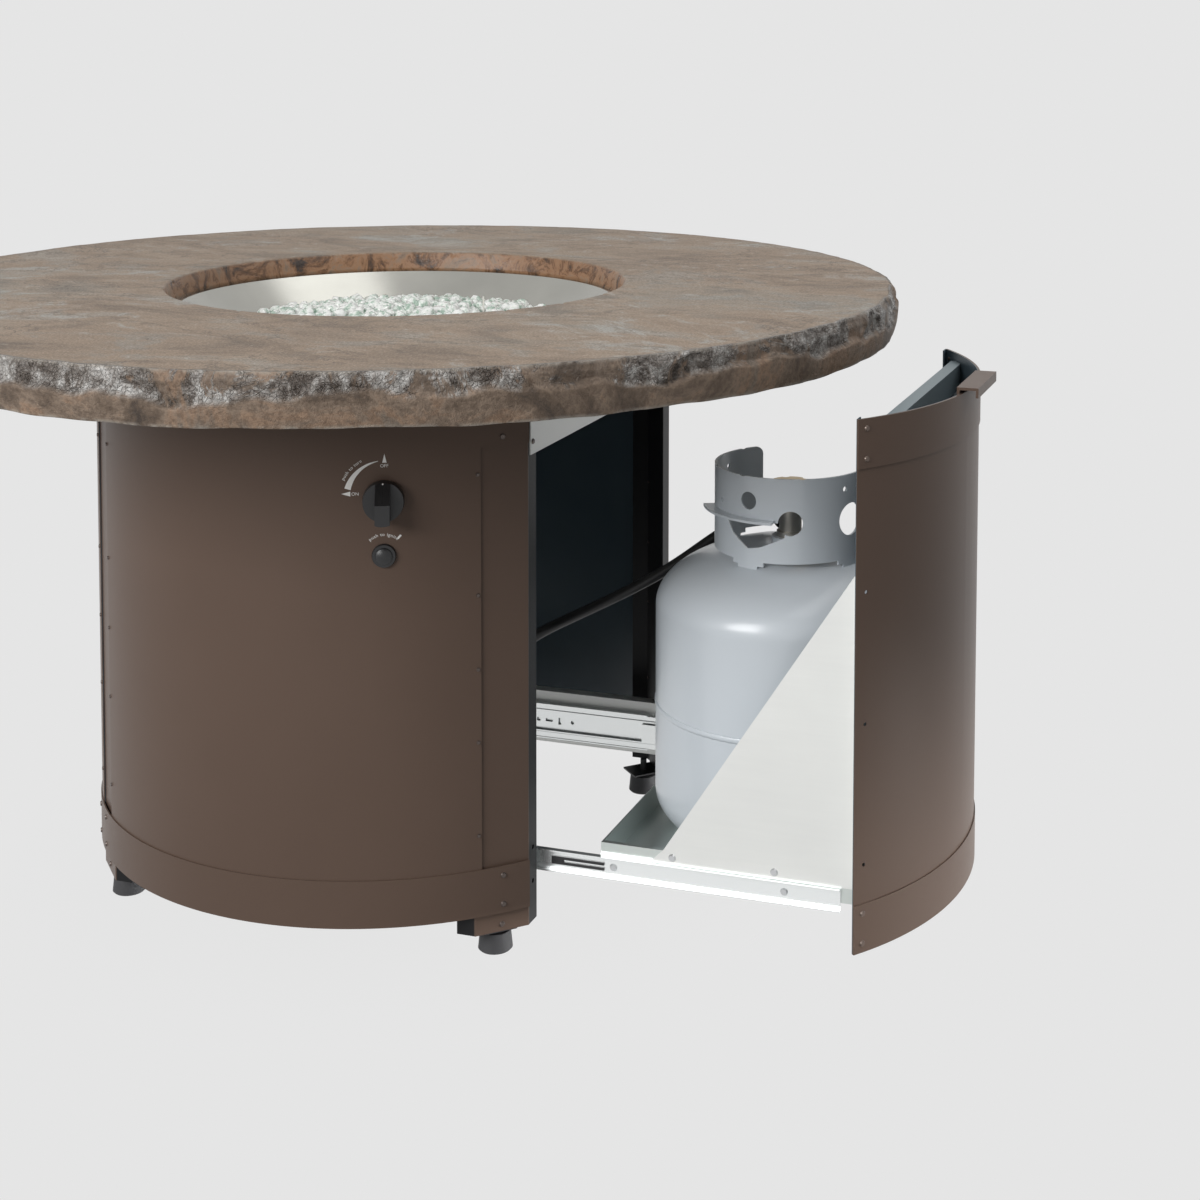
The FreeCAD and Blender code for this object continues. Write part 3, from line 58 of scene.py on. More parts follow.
class Wire:
    # a node's output, on which an operator adds a Math node
    def __init__(self, board, socket):
        self.board = board
        self.socket = socket

    def maths(self, operation, *others):
        inputs = dict(enumerate((self, *others)))
        return self.board.node("ShaderNodeMath", {"operation": operation}, inputs)()

    def __add__(self, other):
        return self.maths("ADD", other)

    def __sub__(self, other):
        return self.maths("SUBTRACT", other)

    def __rsub__(self, other):
        return self * -1 + other

    def __mul__(self, other):
        return self.maths("MULTIPLY", other)

    def __pow__(self, other):
        return self.maths("POWER", other)

    __radd__ = __add__
    __rmul__ = __mul__

    def largest(self, other):
        return self.maths("MAXIMUM", other)

    def positive(self):
        return self.maths("ABSOLUTE")

    def between(self, off, on):
        # 0 at off, 1 at on and smooth between them; off may be the larger of the two
        return self.board.node("ShaderNodeMapRange", {"interpolation_type": "SMOOTHSTEP"},
                               {"Value": self, "From Min": off, "From Max": on})("Result")


class Board:
    # the node tree of a new material, or of the world when that is given
    def __init__(self, name, owner=None):
        self.owner = owner or bpy.data.materials.new(name)
        self.owner.use_nodes = True
        self.tree = self.owner.node_tree
        self.tree.nodes.clear()
        self.place = self.node("ShaderNodeTexCoord")("Object")

    def node(self, kind, settings=None, inputs=None):
        made = self.tree.nodes.new(kind)
        for key, value in (settings or {}).items():
            if key == "stops":
                ramp = made.color_ramp.elements
                while len(ramp) < len(value):
                    ramp.new(0.5)
                for stop, (where, tone) in zip(ramp, value):
                    stop.position = where
                    stop.color = (*tone, 1)
            else:
                setattr(made, key, value)
        for key, value in (inputs or {}).items():
            socket = made.inputs[key]
            if isinstance(value, Wire):
                self.tree.links.new(value.socket, socket)
            else:
                socket.default_value = (*value, 1) if socket.type == "RGBA" else value
        return lambda name=0: Wire(self, made.outputs[name])

    def noise(self, scale, detail=3, rough=0.5, where=None, distort=0.0):
        return self.node("ShaderNodeTexNoise", {}, {
            "Vector": where or self.place, "Scale": scale, "Detail": detail,
            "Roughness": rough, "Distortion": distort})("Fac")

    def cells(self, scale, feature="F1", output="Distance"):
        return self.node("ShaderNodeTexVoronoi", {"feature": feature},
                         {"Vector": self.place, "Scale": scale})(output)

    def stretched(self, scale):
        return self.node("ShaderNodeMapping", {},
                         {"Vector": self.place, "Scale": scale})("Vector")

    def part(self, axis, where=None):
        return self.node("ShaderNodeSeparateXYZ", {}, {0: where or self.place})(axis)

    def attribute(self, name):
        return self.node("ShaderNodeAttribute", {"attribute_name": name})("Fac")

    def ramp(self, factor, stops):
        return self.node("ShaderNodeValToRGB", {"stops": stops}, {"Fac": factor})("Color")

    def mix(self, factor, first, second, blend="MIX"):
        return self.node("ShaderNodeMix", {"data_type": "RGBA", "blend_type": blend},
                         {"Factor": factor, 6: first, 7: second})(2)

    def shade(self, factor, first, second):
        return self.mix(factor, first, second, "MULTIPLY")

    def bump(self, height, strength=0.3, distance=0.001, under=None):
        inputs = {"Height": height, "Strength": strength, "Distance": distance}
        if under is not None:
            inputs["Normal"] = under
        return self.node("ShaderNodeBump", {}, inputs)("Normal")

    def away(self, axis):
        # how far a point lies from an upright axis at this X
        x, y = self.part(0) - axis, self.part(1)
        return (x * x + y * y) ** 0.5

    def finish(self, sockets):
        shader = self.node("ShaderNodeBsdfPrincipled", {}, sockets)
        self.node("ShaderNodeOutputMaterial", {}, {"Surface": shader("BSDF")})
        return self.owner


# finishes

# the bronze powder coat, and the two tones that line each kind of sheet on the inside; the posts'
# two are near black, painted shade on their unlit inner faces and flanges
bronze = {"dark": (0.102, 0.0680, 0.0515), "light": (0.123, 0.0835, 0.0640),
          "sand": (0.62, 0.60, 0.60), "smooth": 0.34, "lined": 0.37, "gloss": 0.18,
          "primer": ((0.062, 0.090, 0.113), (0.095, 0.128, 0.152)),
          "postInnerPaintedShade": ((0.008, 0.008, 0.009), (0.015, 0.015, 0.016)), "postRough": 0.40}
# how far from the axis the coated outer faces begin: the panels', the screw heads' on the
# door, and the posts', measured across their bend
coated = {"panel": 0.3525, "doorHeads": 0.345, "post": (0.3492, 0.3500), "blur": 0.0003}


def bronzeTone(board):
    # the tone drifts a little over a sheet and carries fine darker sand
    drift = board.mix(board.noise(5, 3), bronze["dark"], bronze["light"])
    sand = board.noise(900, 2, 0.6).between(0.62, 0.75)
    return board.shade(sand * 0.35, drift, bronze["sand"])


def bronzeFinish(board, tone, rough):
    return board.finish({"Base Color": tone, "Roughness": rough,
                         "Specular IOR Level": bronze["gloss"],
                         "Normal": board.bump(board.noise(1400, 2, 0.6), 0.25, 0.0003)})


def powderCoat():
    board = Board("bronze powder coat")
    return bronzeFinish(board, bronzeTone(board), board.noise(60, 2) * 0.06 + bronze["smooth"])


def linedCoat(name, outerMask, inner, innerRough=bronze["smooth"]):
    # bronze on the outer face and a dark lining on the rest, told apart by place; on the posts that
    # lining is painted shade
    board = Board(name)
    outer = outerMask(board)
    lining = board.mix(board.noise(9, 3), *inner)
    return bronzeFinish(board, board.mix(outer, lining, bronzeTone(board)),
                        outer * (bronze["lined"] - innerRough) + innerRough)


def outsideOf(axis, radius=coated["panel"]):
    # 1 on the outer face of a sheet bent round this axis, 0 within it
    low, high = radius - coated["blur"], radius + coated["blur"]
    return lambda board: board.away(axis).between(low, high)


def outerFacet(board):
    # the corner posts are bent flat across each diagonal, so the sum of both distances from
    # the axis, times half the root of two, tells their outer face
    x, y = (board.part(0) - table["axis"]).positive(), board.part(1).positive()
    return ((x + y) * 0.70711).between(*coated["post"])


def zincCoat(name="zinc coat", low=(0.77, 0.78, 0.765), high=(0.87, 0.88, 0.855), metal=0.40,
             rough=0.34):
    # smooth plated sheet with faint rolling lines and a slight cloudiness
    board = Board(name)
    cloud = board.noise(7, 4, 0.55)
    lines = board.noise(220, 2, 0.5, board.stretched((0.05, 1, 1)))
    return board.finish({"Base Color": board.mix(cloud * 0.7 + lines * 0.3, low, high),
                         "Metallic": metal, "Roughness": lines * 0.10 + cloud * 0.08 + rough,
                         "Normal": board.bump(board.noise(420, 3), 0.05, 0.0003)})


def railSteel():
    board = Board("bright slide steel")
    streak = board.noise(16, 2, where=board.stretched((0.25, 3, 3)))
    return board.finish({"Base Color": board.mix(streak, (0.90, 0.93, 0.93), (0.97, 0.99, 0.99)),
                         "Metallic": 0.85, "Roughness": streak * 0.08 + 0.22,
                         "Normal": board.bump(board.noise(500, 2), 0.04, 0.0002)})


def mirrorSteel():
    # the bowl's dulled mirror, brushed round and a little wavy
    board = Board("polished bowl steel")
    smear = board.noise(14, 4)
    brushed = board.noise(160, 3, 0.6, board.stretched((1, 1, 0.06)))
    return board.finish({
        "Base Color": board.mix(smear, (0.36, 0.355, 0.325), (0.48, 0.475, 0.435)),
        "Metallic": 0.96, "Roughness": smear * 0.08 + brushed * 0.05 + 0.15,
        "Normal": board.bump(board.noise(5, 2), 0.30, 0.004)})


def plainMetal(name, tone, rough, metal=1.0):
    board = Board(name)
    wear = board.noise(90, 3)
    worn = tuple(value * 0.86 for value in tone)
    return board.finish({"Base Color": board.mix(wear, worn, tone), "Metallic": metal,
                         "Roughness": wear * 0.12 + rough,
                         "Normal": board.bump(board.noise(500, 2), 0.05, 0.0003)})


def drawerScrews():
    # the heads on the door are plated dark like the drum's, those on the slides are zinc
    board = Board("drawer screws")
    onDoor = outsideOf(table["axis"] + table["drawerOut"], coated["doorHeads"])(board)
    wear = board.noise(90, 3)
    zinc = board.mix(wear, (0.56, 0.57, 0.58), (0.66, 0.67, 0.68))
    plated = board.mix(wear, (0.115, 0.085, 0.070), (0.145, 0.110, 0.092))
    return board.finish({"Base Color": board.mix(onDoor, zinc, plated),
                         "Metallic": 1 - onDoor * 0.6, "Roughness": wear * 0.12 + 0.28})


def tankPaint():
    board = Board("tank enamel")
    patch = board.noise(6, 3)
    dust = board.noise(45, 4, 0.6)
    return board.finish({
        "Base Color": board.mix(patch, (0.61, 0.66, 0.705), (0.67, 0.72, 0.765)),
        "Roughness": dust * 0.12 + 0.27, "Coat Weight": 0.3, "Coat Roughness": 0.14,
        "Normal": board.bump(board.noise(190, 2), 0.05, 0.0008)})


def blackPlastic(name="black moulded plastic", rough=0.33, tone=0.016):
    board = Board(name)
    darker, lighter = (tone * 0.8, tone * 0.8, tone * 0.85), (tone * 1.25, tone * 1.25, tone * 1.35)
    return board.finish({"Base Color": board.mix(board.noise(40, 3), darker, lighter),
                         "Roughness": board.noise(120, 2) * 0.1 + rough,
                         "Normal": board.bump(board.noise(900, 2), 0.12, 0.0002)})


def slateTop(board, along, drift, strands):
    # brown and grey clouds drawn out along the table, under pale veins and chips, dark veins,
    # hair cracks, pits and specks
    clouds = board.noise(3.8, 7, 0.68, along, 0.5)
    speck = board.noise(380, 4, 0.75)
    ground = board.ramp(clouds, [
        (0.36, (0.165, 0.122, 0.086)), (0.44, (0.262, 0.190, 0.132)),
        (0.51, (0.325, 0.250, 0.184)), (0.58, (0.262, 0.238, 0.200)),
        (0.66, (0.190, 0.190, 0.172))])
    tint = board.ramp(drift, [
        (0.38, (0.120, 0.088, 0.062)), (0.45, (0.240, 0.180, 0.130)),
        (0.52, (0.345, 0.262, 0.192)), (0.58, (0.305, 0.282, 0.248)),
        (0.68, (0.440, 0.420, 0.385))])
    top = board.mix(0.56, ground, tint)
    top = board.shade(strands.between(0.54, 0.40) * 0.10, top, (0.60, 0.57, 0.54))
    ridge = (board.noise(2.3, 9, 0.6, along, 0.9) - 0.5).positive()
    paleVein = ridge.between(0.012, 0.002) * drift.between(0.46, 0.58)
    top = board.mix(paleVein * 0.55, top, (0.43, 0.43, 0.41))
    chips = board.noise(26, 6, 0.74, distort=0.6).between(0.62, 0.65)
    top = board.mix(chips * 0.5, top, (0.46, 0.43, 0.39))
    darkVein = (board.noise(3.6, 9, 0.68, along, 1.0) - 0.47).positive().between(0.008, 0.001)
    top = board.mix(darkVein * 0.75, top, (0.100, 0.076, 0.058))
    hair = (board.noise(12, 9, 0.72, along, 0.5) - 0.5).positive().between(0.014, 0.002)
    top = board.mix(hair * drift.between(0.50, 0.58) * 0.55, top, (0.120, 0.086, 0.062))
    pits = board.noise(95, 5, 0.72).between(0.37, 0.29)
    top = board.shade(speck.between(0.58, 0.42) * 0.55 + pits * 0.5, top, (0.48, 0.44, 0.40))
    return board.mix(speck.between(0.56, 0.66) * 0.30, top, (0.52, 0.49, 0.45))


def slateEdge(board, flint, patch, blotch):
    # rust below, pale broken flakes above whose palest tones are partly painted glints, and a pale
    # line along both of the edge's corners
    rust = board.ramp(blotch, [
        (0.32, (0.055, 0.038, 0.027)), (0.42, (0.150, 0.106, 0.074)),
        (0.50, (0.245, 0.182, 0.134)), (0.57, (0.300, 0.200, 0.134)),
        (0.64, (0.215, 0.170, 0.132)), (0.80, (0.360, 0.315, 0.268))])
    # the palest flake tones are painted glints as well as pale stone
    flakeAndGlint = board.ramp(board.noise(38, 6, 0.66, distort=0.8), [
        (0.38, (0.085, 0.068, 0.056)), (0.46, (0.220, 0.195, 0.175)),
        (0.53, (0.42, 0.40, 0.38)), (0.64, (0.72, 0.71, 0.69))])
    broken = board.mix(flint * (patch * 0.90 + 0.05), rust, flakeAndGlint)
    hollows = board.noise(170, 4, 0.7).between(0.58, 0.40)
    broken = board.shade(hollows * 0.55, broken, (0.42, 0.38, 0.35))
    paleEdgeLine = board.attribute("arris") * board.noise(40, 5, 0.7).between(0.40, 0.56)
    return board.mix(paleEdgeLine * 0.75, broken, (0.42, 0.38, 0.33))


def slateWall(board, tarnish):
    # copper brown in blotches, round the bowl
    return board.ramp(tarnish, [
        (0.37, (0.026, 0.016, 0.011)), (0.45, (0.140, 0.070, 0.034)),
        (0.52, (0.270, 0.146, 0.076)), (0.59, (0.215, 0.148, 0.102)),
        (0.68, (0.075, 0.048, 0.034))])


def castStone():
    # brown slate: a flat top streaked along the table, a glossy copper-brown wall round the
    # bowl, and a broken edge that is flinty above and rusty below
    board = Board("cast slate")
    rim, flint, wall = [board.attribute(name) for name in ("rim", "flint", "wall")]
    along = board.stretched((0.62, 1, 1))
    drift = board.noise(10, 9, 0.74, along, 0.7)
    strands = board.noise(70, 4, 0.62, board.stretched((0.22, 1, 1)))
    blotch = board.noise(9, 6, 0.66, distort=0.9)
    patch = board.noise(10, 6, 0.74, distort=1.2).between(0.45, 0.51)
    tarnish = board.noise(24, 8, 0.76, distort=0.8)
    top = slateTop(board, along, drift, strands)
    edge = slateEdge(board, flint, patch, blotch)
    colour = board.mix(wall, board.mix(rim, top, edge), slateWall(board, tarnish))
    crackle = board.cells(230, "DISTANCE_TO_EDGE").between(0.0, 0.16)
    facet = board.part(0, board.cells(130, output="Color"))
    coarse = board.noise(48, 9, 0.72, distort=0.8)
    normal = board.bump(strands * (1 - rim) * 0.5 + coarse * (rim * (flint * 6 + 3)), 0.5, 0.0016)
    fine = board.noise(280, 5, 0.72) * (rim * 0.9 + wall * 0.5 + 0.14)
    normal = board.bump(crackle * (flint * patch * 1.2 + 0.10) * rim
                        + facet * (flint * rim * 0.9) + fine, 0.85, 0.0014, normal)
    flinty = (1 - patch) * 0.26 + board.noise(80, 4) * 0.26 + 0.05
    rough = (1 - rim) * (drift * 0.14 + 0.52) + rim * (1 - flint) * (blotch * 0.3 + 0.38) \
        + rim * flint * flinty
    rough = rough * (1 - wall) + wall * (tarnish * 0.50 + 0.04)
    return board.finish({"Base Color": colour, "Roughness": rough, "Normal": normal,
                         "Specular IOR Level": 0.40})


def clearGlass():
    board = Board("clear tumbled glass")
    tint = board.ramp(board.noise(90, 3, 0.7), [
        (0.40, (0.42, 0.55, 0.46)), (0.48, (0.84, 0.90, 0.84)), (0.54, (1.0, 1.0, 0.98))])
    return board.finish({"Base Color": tint, "Roughness": board.noise(60, 2) * 0.05 + 0.02,
                         "IOR": 1.45, "Transmission Weight": 0.25,
                         "Normal": board.bump(board.noise(260, 2), 0.9, 0.0016)})


def paleGlassBed():
    board = Board("deep glass bed")
    tone = board.ramp(board.cells(60), [(0.1, (0.92, 0.95, 0.90)), (0.7, (0.62, 0.70, 0.62))])
    return board.finish({"Base Color": tone, "Roughness": 0.15,
                         "Normal": board.bump(board.cells(60), 0.8, 0.004)})


def whiteInk():
    board = Board("white ink")
    tone = board.mix(board.noise(200, 2), (0.74, 0.73, 0.71), (0.83, 0.82, 0.80))
    return board.finish({"Base Color": tone, "Roughness": 0.5})


finishes = {
    "coat": powderCoat(),
    "lining": linedCoat("bronze coat over dark primer", outsideOf(table["axis"]),
                        bronze["primer"]),
    "doorLining": linedCoat("bronze door coat over primer",
                            outsideOf(table["axis"] + table["drawerOut"]), bronze["primer"]),
    # the posts' inner faces and flanges are painted near black as shade
    "post": linedCoat("bronze post coat over painted shade", outerFacet, bronze["postInnerPaintedShade"],
                      bronze["postRough"]),
    "zinc": zincCoat(),
    # the door's stiffener gets a darker copy of the zinc: painted shade
    "paintedShadeZinc": zincCoat("zinc darkened as painted shade", (0.17, 0.215, 0.235), (0.24, 0.29, 0.31), 0.4, 0.36),
    "tray": zincCoat("tray zinc", (0.56, 0.61, 0.59), (0.70, 0.74, 0.71), 0.85, 0.26),
    "rail": railSteel(),
    "mirror": mirrorSteel(),
    "tank": tankPaint(),
    "plastic": blackPlastic(),
    "black": blackPlastic("black powder coat", 0.42),
    "rubber": blackPlastic("foot rubber", 0.6, 0.045),
    "hose": blackPlastic("hose rubber", 0.40, 0.013),
    # the knob's groove line is painted near black as shade
    "groove": blackPlastic("groove painted as shade", 0.6, 0.004),
    "stone": castStone(),
    "glass": clearGlass(),
    "bed": paleGlassBed(),
    "ink": whiteInk(),
    "brass": plainMetal("valve brass", (0.72, 0.55, 0.30), 0.24),
    "valve": plainMetal("worn valve steel", (0.46, 0.44, 0.40), 0.30, 0.85),
    "screw": plainMetal("dark plated screws", (0.115, 0.092, 0.082), 0.34, 0.6),
    "drawerScrew": drawerScrews(),
    "burner": plainMetal("burner steel", (0.52, 0.50, 0.48), 0.35),
    "ceramic": plainMetal("glazed ceramic", (0.80, 0.78, 0.73), 0.25, 0.0),
    "grey": plainMetal("cast valve metal", (0.55, 0.55, 0.55), 0.4),
}

wearing = {
    "lining": ["front_panel", "left_panel", "back_panel"],
    "coat": ["front_top_band", "left_top_band", "back_top_band", "front_bottom_band",
             "left_bottom_band", "back_bottom_band", "door_top_band", "door_bottom_band",
             "door_handle"],
    "post": ["post_front_right", "post_front_left", "post_back_right", "post_back_left"],
    "doorLining": ["door_panel"],
    "zinc": ["drawer_header", "top_rails", "heat_shield", "slide_carrier_front",
             "slide_carrier_back", "rear_cross_rail", "gusset_front", "gusset_back"],
    "tray": ["drawer_tray"],
    "paintedShadeZinc": ["door_stiffener"],
    "rail": ["slide_cabinet_front", "slide_cabinet_back", "slide_middle_front",
             "slide_middle_back", "slide_drawer_front", "slide_drawer_back"],
    "mirror": ["burner_bowl"],
    "burner": ["burner_ring"],
    "ceramic": ["spark_electrode"],
    "brass": ["air_mixer", "tank_handwheel"],
    "valve": ["tank_valve"],
    "grey": ["control_valve", "burner_gas_line", "valve_stem"],
    "tank": ["tank_vessel", "tank_foot_ring", "tank_collar"],
    "plastic": ["control_knob", "igniter_module", "igniter_button", "release_lever_front",
                "release_lever_back", "connector_nut"],
    "black": ["foot_brackets"],
    "rubber": ["levelling_feet", "ignition_lead"],
    "screw": ["base_screws", "panel_rivets"],
    "drawerScrew": ["drawer_screws"],
    "hose": ["gas_hose"],
    "glass": ["glass_gems"],
    "stone": ["stone_top"],
}
for finish, names in wearing.items():
    for name in names:
        mesh = nodes[name].data
        mesh.materials.clear()
        mesh.materials.append(finishes[finish])
print("finishes on the frame:", sum(len(names) for names in wearing.values()))


# surfaces from grids of points

def put(name, data=None):
    # an object in the scene, at the origin
    thing = bpy.data.objects.new(name, data)
    bpy.context.scene.collection.objects.link(thing)
    return thing


def facePiece(name, points, faces, finish, smooth=True, body="root"):
    # points is count by three, and each row of faces holds the numbers of one face's corners
    mesh = bpy.data.meshes.new(name)
    sides = faces.shape[1]
    mesh.vertices.add(len(points))
    mesh.vertices.foreach_set("co", points.astype(np.float32).ravel())
    mesh.loops.add(faces.size)
    mesh.loops.foreach_set("vertex_index", faces.astype(np.int32).ravel())
    mesh.polygons.add(len(faces))
    mesh.polygons.foreach_set("loop_start", np.arange(0, faces.size, sides, dtype=np.int32))
    mesh.polygons.foreach_set("use_smooth", np.full(len(faces), smooth))
    mesh.update(calc_edges=True)
    mesh.validate()
    piece = put(name, mesh)
    mesh.materials.append(finishes[finish])
    if body:
        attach(piece, body)
    return piece


def gridPiece(name, points, finish, *, aroundU=False, aroundV=False, smooth=True, body="root"):
    # points is rows by columns by three; each four neighbours make a face
    rows, columns = points.shape[:2]
    numbers = np.arange(rows * columns).reshape(rows, columns)
    down = np.roll(numbers, -1, 0) if aroundU else numbers[1:]
    here = numbers if aroundU else numbers[:-1]
    if aroundV:
        faces = np.stack([here, down, np.roll(down, -1, 1), np.roll(here, -1, 1)], -1)
    else:
        faces = np.stack([here[:, :-1], down[:, :-1], down[:, 1:], here[:, 1:]], -1)
    return facePiece(name, points.reshape(-1, 3), faces.reshape(-1, 4), finish, smooth, body)


def closedEnds(rings):
    # a row before the first ring and one after the last, each shrunk to its ring's middle
    middle = rings.mean(1, keepdims=True).repeat(rings.shape[1], 1)
    return np.concatenate([middle[:1], rings, middle[-1:]], 0)


def fullTurn(count):
    return np.linspace(0, 2 * np.pi, count, endpoint=False)


# the table top

slab = {"radius": 0.6096, "top": 0.697, "low": 0.641, "inner": 0.5776, "deck": 0.673,
        "hole": 0.275, "draft": 0.007, "round": 0.0028, "columns": 1500, "rows": 46,
        "bevel": 0.006, "bevelFrom": 0.80, "undercut": 0.008, "proud": 0.0015,
        "setBack": 0.0022, "deepest": 0.021, "lift": 0.0022, "brow": 0.0002, "ledge": 0.50,
        "paleEdge": 0.07, "corner": ((0.0010, 0.7), (0.003, 0.2), (0.010, 0.0)),
        "flatFrom": 0.575, "flatShort": 0.012, "flatRings": 9, "nickFrom": 0.8,
        "nickWide": 0.002, "nickDeep": 0.0016, "bendRings": 5, "wallFrom": 0.25,
        "wallRings": 5, "backGap": 0.02}
# the broken edge's chips: each kind is a count, a width, a depth and how high on the face the
# lowest ones sit; the rest are the spreads of their draws and how wear flattens them
chips = {"seed": 11, "kinds": ((130, 0.032, 0.0062, 0.10), (620, 0.014, 0.0030, 0.15),
                               (3600, 0.0062, 0.0014, 0.15)),
         "highest": 1.1, "widths": (0.55, 1.35), "squash": (0.6, 1.1), "lean": 0.13,
         "tip": 0.16, "left": 0.18, "wearBand": 0.10, "fadeFrom": 0.9, "fade": 0.45}
# waves round the rim: a seed, and for each kind how many there are and how far it reaches
waves = {"ledge": (5, ((4, 0.05), (9, 0.06), (17, 0.06), (33, 0.045), (71, 0.03))),
         "slow": (3, ((3, 0.00048), (7, 0.00054), (13, 0.00048), (29, 0.00036))),
         "sag": (8, ((11, 0.0007), (27, 0.0005), (61, 0.0003))),
         "nick": (15, ((23, 0.5), (41, 0.5), (67, 0.5), (131, 0.4)))}


def ripple(turn, name):
    # a sum of sines round the rim, each with a phase drawn from the set's seed
    seed, kinds = waves[name]
    draw = np.random.default_rng(seed)
    total = np.zeros(len(turn))
    for count, size in kinds:
        total = total + size * np.sin(count * turn + draw.uniform(0, 2 * np.pi))
    return total


def brokenRim(turn, level, ledge):
    # how far the broken face is cut in, at each height and angle: each chip is a shallow
    # scoop, deepest at its centre and tilted at random, and the deepest chip wins; chips
    # below the wandering ledge are worn almost smooth
    draw = np.random.default_rng(chips["seed"])
    step = 2 * np.pi * slab["radius"] / len(turn)
    tall = slab["top"] - slab["low"]
    cut = np.zeros((len(level), len(turn)))
    for count, size, deep, lowest in chips["kinds"]:
        for _ in range(count):
            centre, height = draw.integers(len(turn)), draw.uniform(lowest, chips["highest"])
            wide = size * draw.uniform(*chips["widths"])
            squash = draw.uniform(*chips["squash"])
            lean = draw.uniform(-chips["lean"], chips["lean"])
            tip = draw.uniform(-chips["tip"], chips["tip"])
            half = int(wide / step) + 1
            reach = np.arange(-half, half + 1)
            along, up = reach * step, (level - height) * tall
            inside = 1 - (along / wide) ** 2 - (up / (wide * squash)) ** 2
            scoop = np.where(inside > 0, deep * np.sqrt(np.clip(inside, 0, 1))
                             + along * lean + up * tip, 0)
            here = (centre + reach) % len(turn)
            cut[:, here] = np.maximum(cut[:, here], scoop)
    unworn = np.clip((level - ledge) / chips["wearBand"], 0, 1)
    fade = np.clip((level - chips["fadeFrom"]) / (1 - chips["fadeFrom"]), 0, 1)
    kept = chips["left"] + (1 - chips["left"]) * unworn
    return cut * kept * (1 - chips["fade"] * fade), unworn


def makeTop():
    # a closed profile turned round the axis: up the broken face, over its pale-lined corner, in
    # across the flat top, down round the hole's bend and its wall, and back below
    columns, low, top = slab["columns"], slab["low"], slab["top"]
    turn = fullTurn(columns)
    level = np.linspace(0, 1, slab["rows"])[:, None]
    ledge = slab["ledge"] + ripple(turn, "ledge")
    cut, flinty = brokenRim(turn, level, ledge)
    # the face leans in towards both corners, and the worn part below the ledge stands proud
    leaning = np.clip((level - slab["bevelFrom"]) / (1 - slab["bevelFrom"]), 0, 1)
    inset = slab["bevel"] * leaning ** 1.6 + slab["undercut"] * (1 - level) ** 3 \
        + slab["setBack"] * flinty
    inset = np.clip(inset + cut + ripple(turn, "slow"), 0, slab["deepest"])
    radius = slab["radius"] + slab["proud"] - inset
    height = low + slab["lift"] + ripple(turn, "sag") * (1 - level) ** 2 \
        + level * (top - low - slab["lift"] - slab["brow"])
    rings, shades = [], []

    def ring(radii, heights, rim=0.0, flint=0.0, wall=0.0, arris=0.0):
        # one closed line of points round the axis, with its share of each finish
        rings.append((np.broadcast_to(radii, columns), np.broadcast_to(heights, columns)))
        shades.append([np.broadcast_to(share, columns) for share in (rim, flint, wall, arris)])

    ring(slab["inner"], slab["deck"], 1)
    ring(slab["inner"] + 0.001, low + 0.003, 1)  # inside the edge's foot, clear of its lip
    # a pale line runs along both corners of the face
    paleEdge = np.maximum(1 - level / slab["paleEdge"], 1 + (level - 1) / slab["paleEdge"]).clip(0)
    for row in range(slab["rows"]):
        ring(radius[row], height[row], 1, flinty[row], 0, paleEdge[row])
    for inward, rim in slab["corner"]:
        ring(radius[-1] - inward, top - 0.0001 * rim, rim, rim, 0, rim)
    for flat in np.linspace(slab["flatFrom"], slab["hole"] + slab["flatShort"],
                            slab["flatRings"]):
        ring(flat, top)
    nick = np.clip(ripple(turn, "nick") - slab["nickFrom"], 0, 1)
    for bend in np.linspace(0, np.pi / 2, slab["bendRings"]):
        sunk = slab["round"] * (1 - np.cos(bend)) + nick * slab["nickDeep"]
        back = slab["round"] * (1 - np.sin(bend)) + nick * slab["nickWide"] * np.sin(bend)
        ring(slab["hole"] + back, top - sunk, 0, 0, np.sin(bend) ** 2)
    for down in np.linspace(slab["wallFrom"], 1, slab["wallRings"]):
        ring(slab["hole"] - slab["draft"] * down, top - (top - slab["deck"]) * down, 0, 0, 1)
    ring(slab["hole"] + slab["backGap"], slab["deck"])
    radii, heights = np.array(rings).transpose(1, 0, 2)
    points = np.stack([table["axis"] + radii * np.cos(turn), radii * np.sin(turn), heights], -1)
    piece = gridPiece("stone_slab", points[:, ::-1], "stone", aroundU=True, aroundV=True)
    for index, name in enumerate(("rim", "flint", "wall", "arris")):
        layer = piece.data.attributes.new(name, "FLOAT", "POINT")
        values = np.array([shade[index] for shade in shades])[:, ::-1]
        layer.data.foreach_set("value", values.astype(np.float32).ravel())
    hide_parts("stone_top")


makeTop()
print("table top made")


# the glass in the bowl

gems = {"seed": 7, "count": 1500, "small": 0.0052, "large": 0.0112, "edge": 0.641,
        "top": 0.656, "bank": 0.216, "crown": 0.002, "sink": 0.002, "steep": 2.2,
        "inset": 0.005, "sunk": 0.4, "heave": (-0.004, 0.005),
        "beadRows": 4, "beadColumns": 7, "squash": (0.68, 1.15), "dents": 0.06,
        "bedRadii": (0.0005, 0.06, 0.12, 0.17, 0.198, 0.208), "bedColumns": 96,
        "bedBelow": 0.009}


def heapHeight(radius):
    # a crown that falls from a little above the top to a little below the edge, by a power
    # of the share of the way out to the bank
    share = np.clip(radius / gems["bank"], 0, 1)
    middle, bank = gems["top"] + gems["crown"], gems["edge"] - gems["sink"]
    return middle - (middle - bank) * share ** gems["steep"]


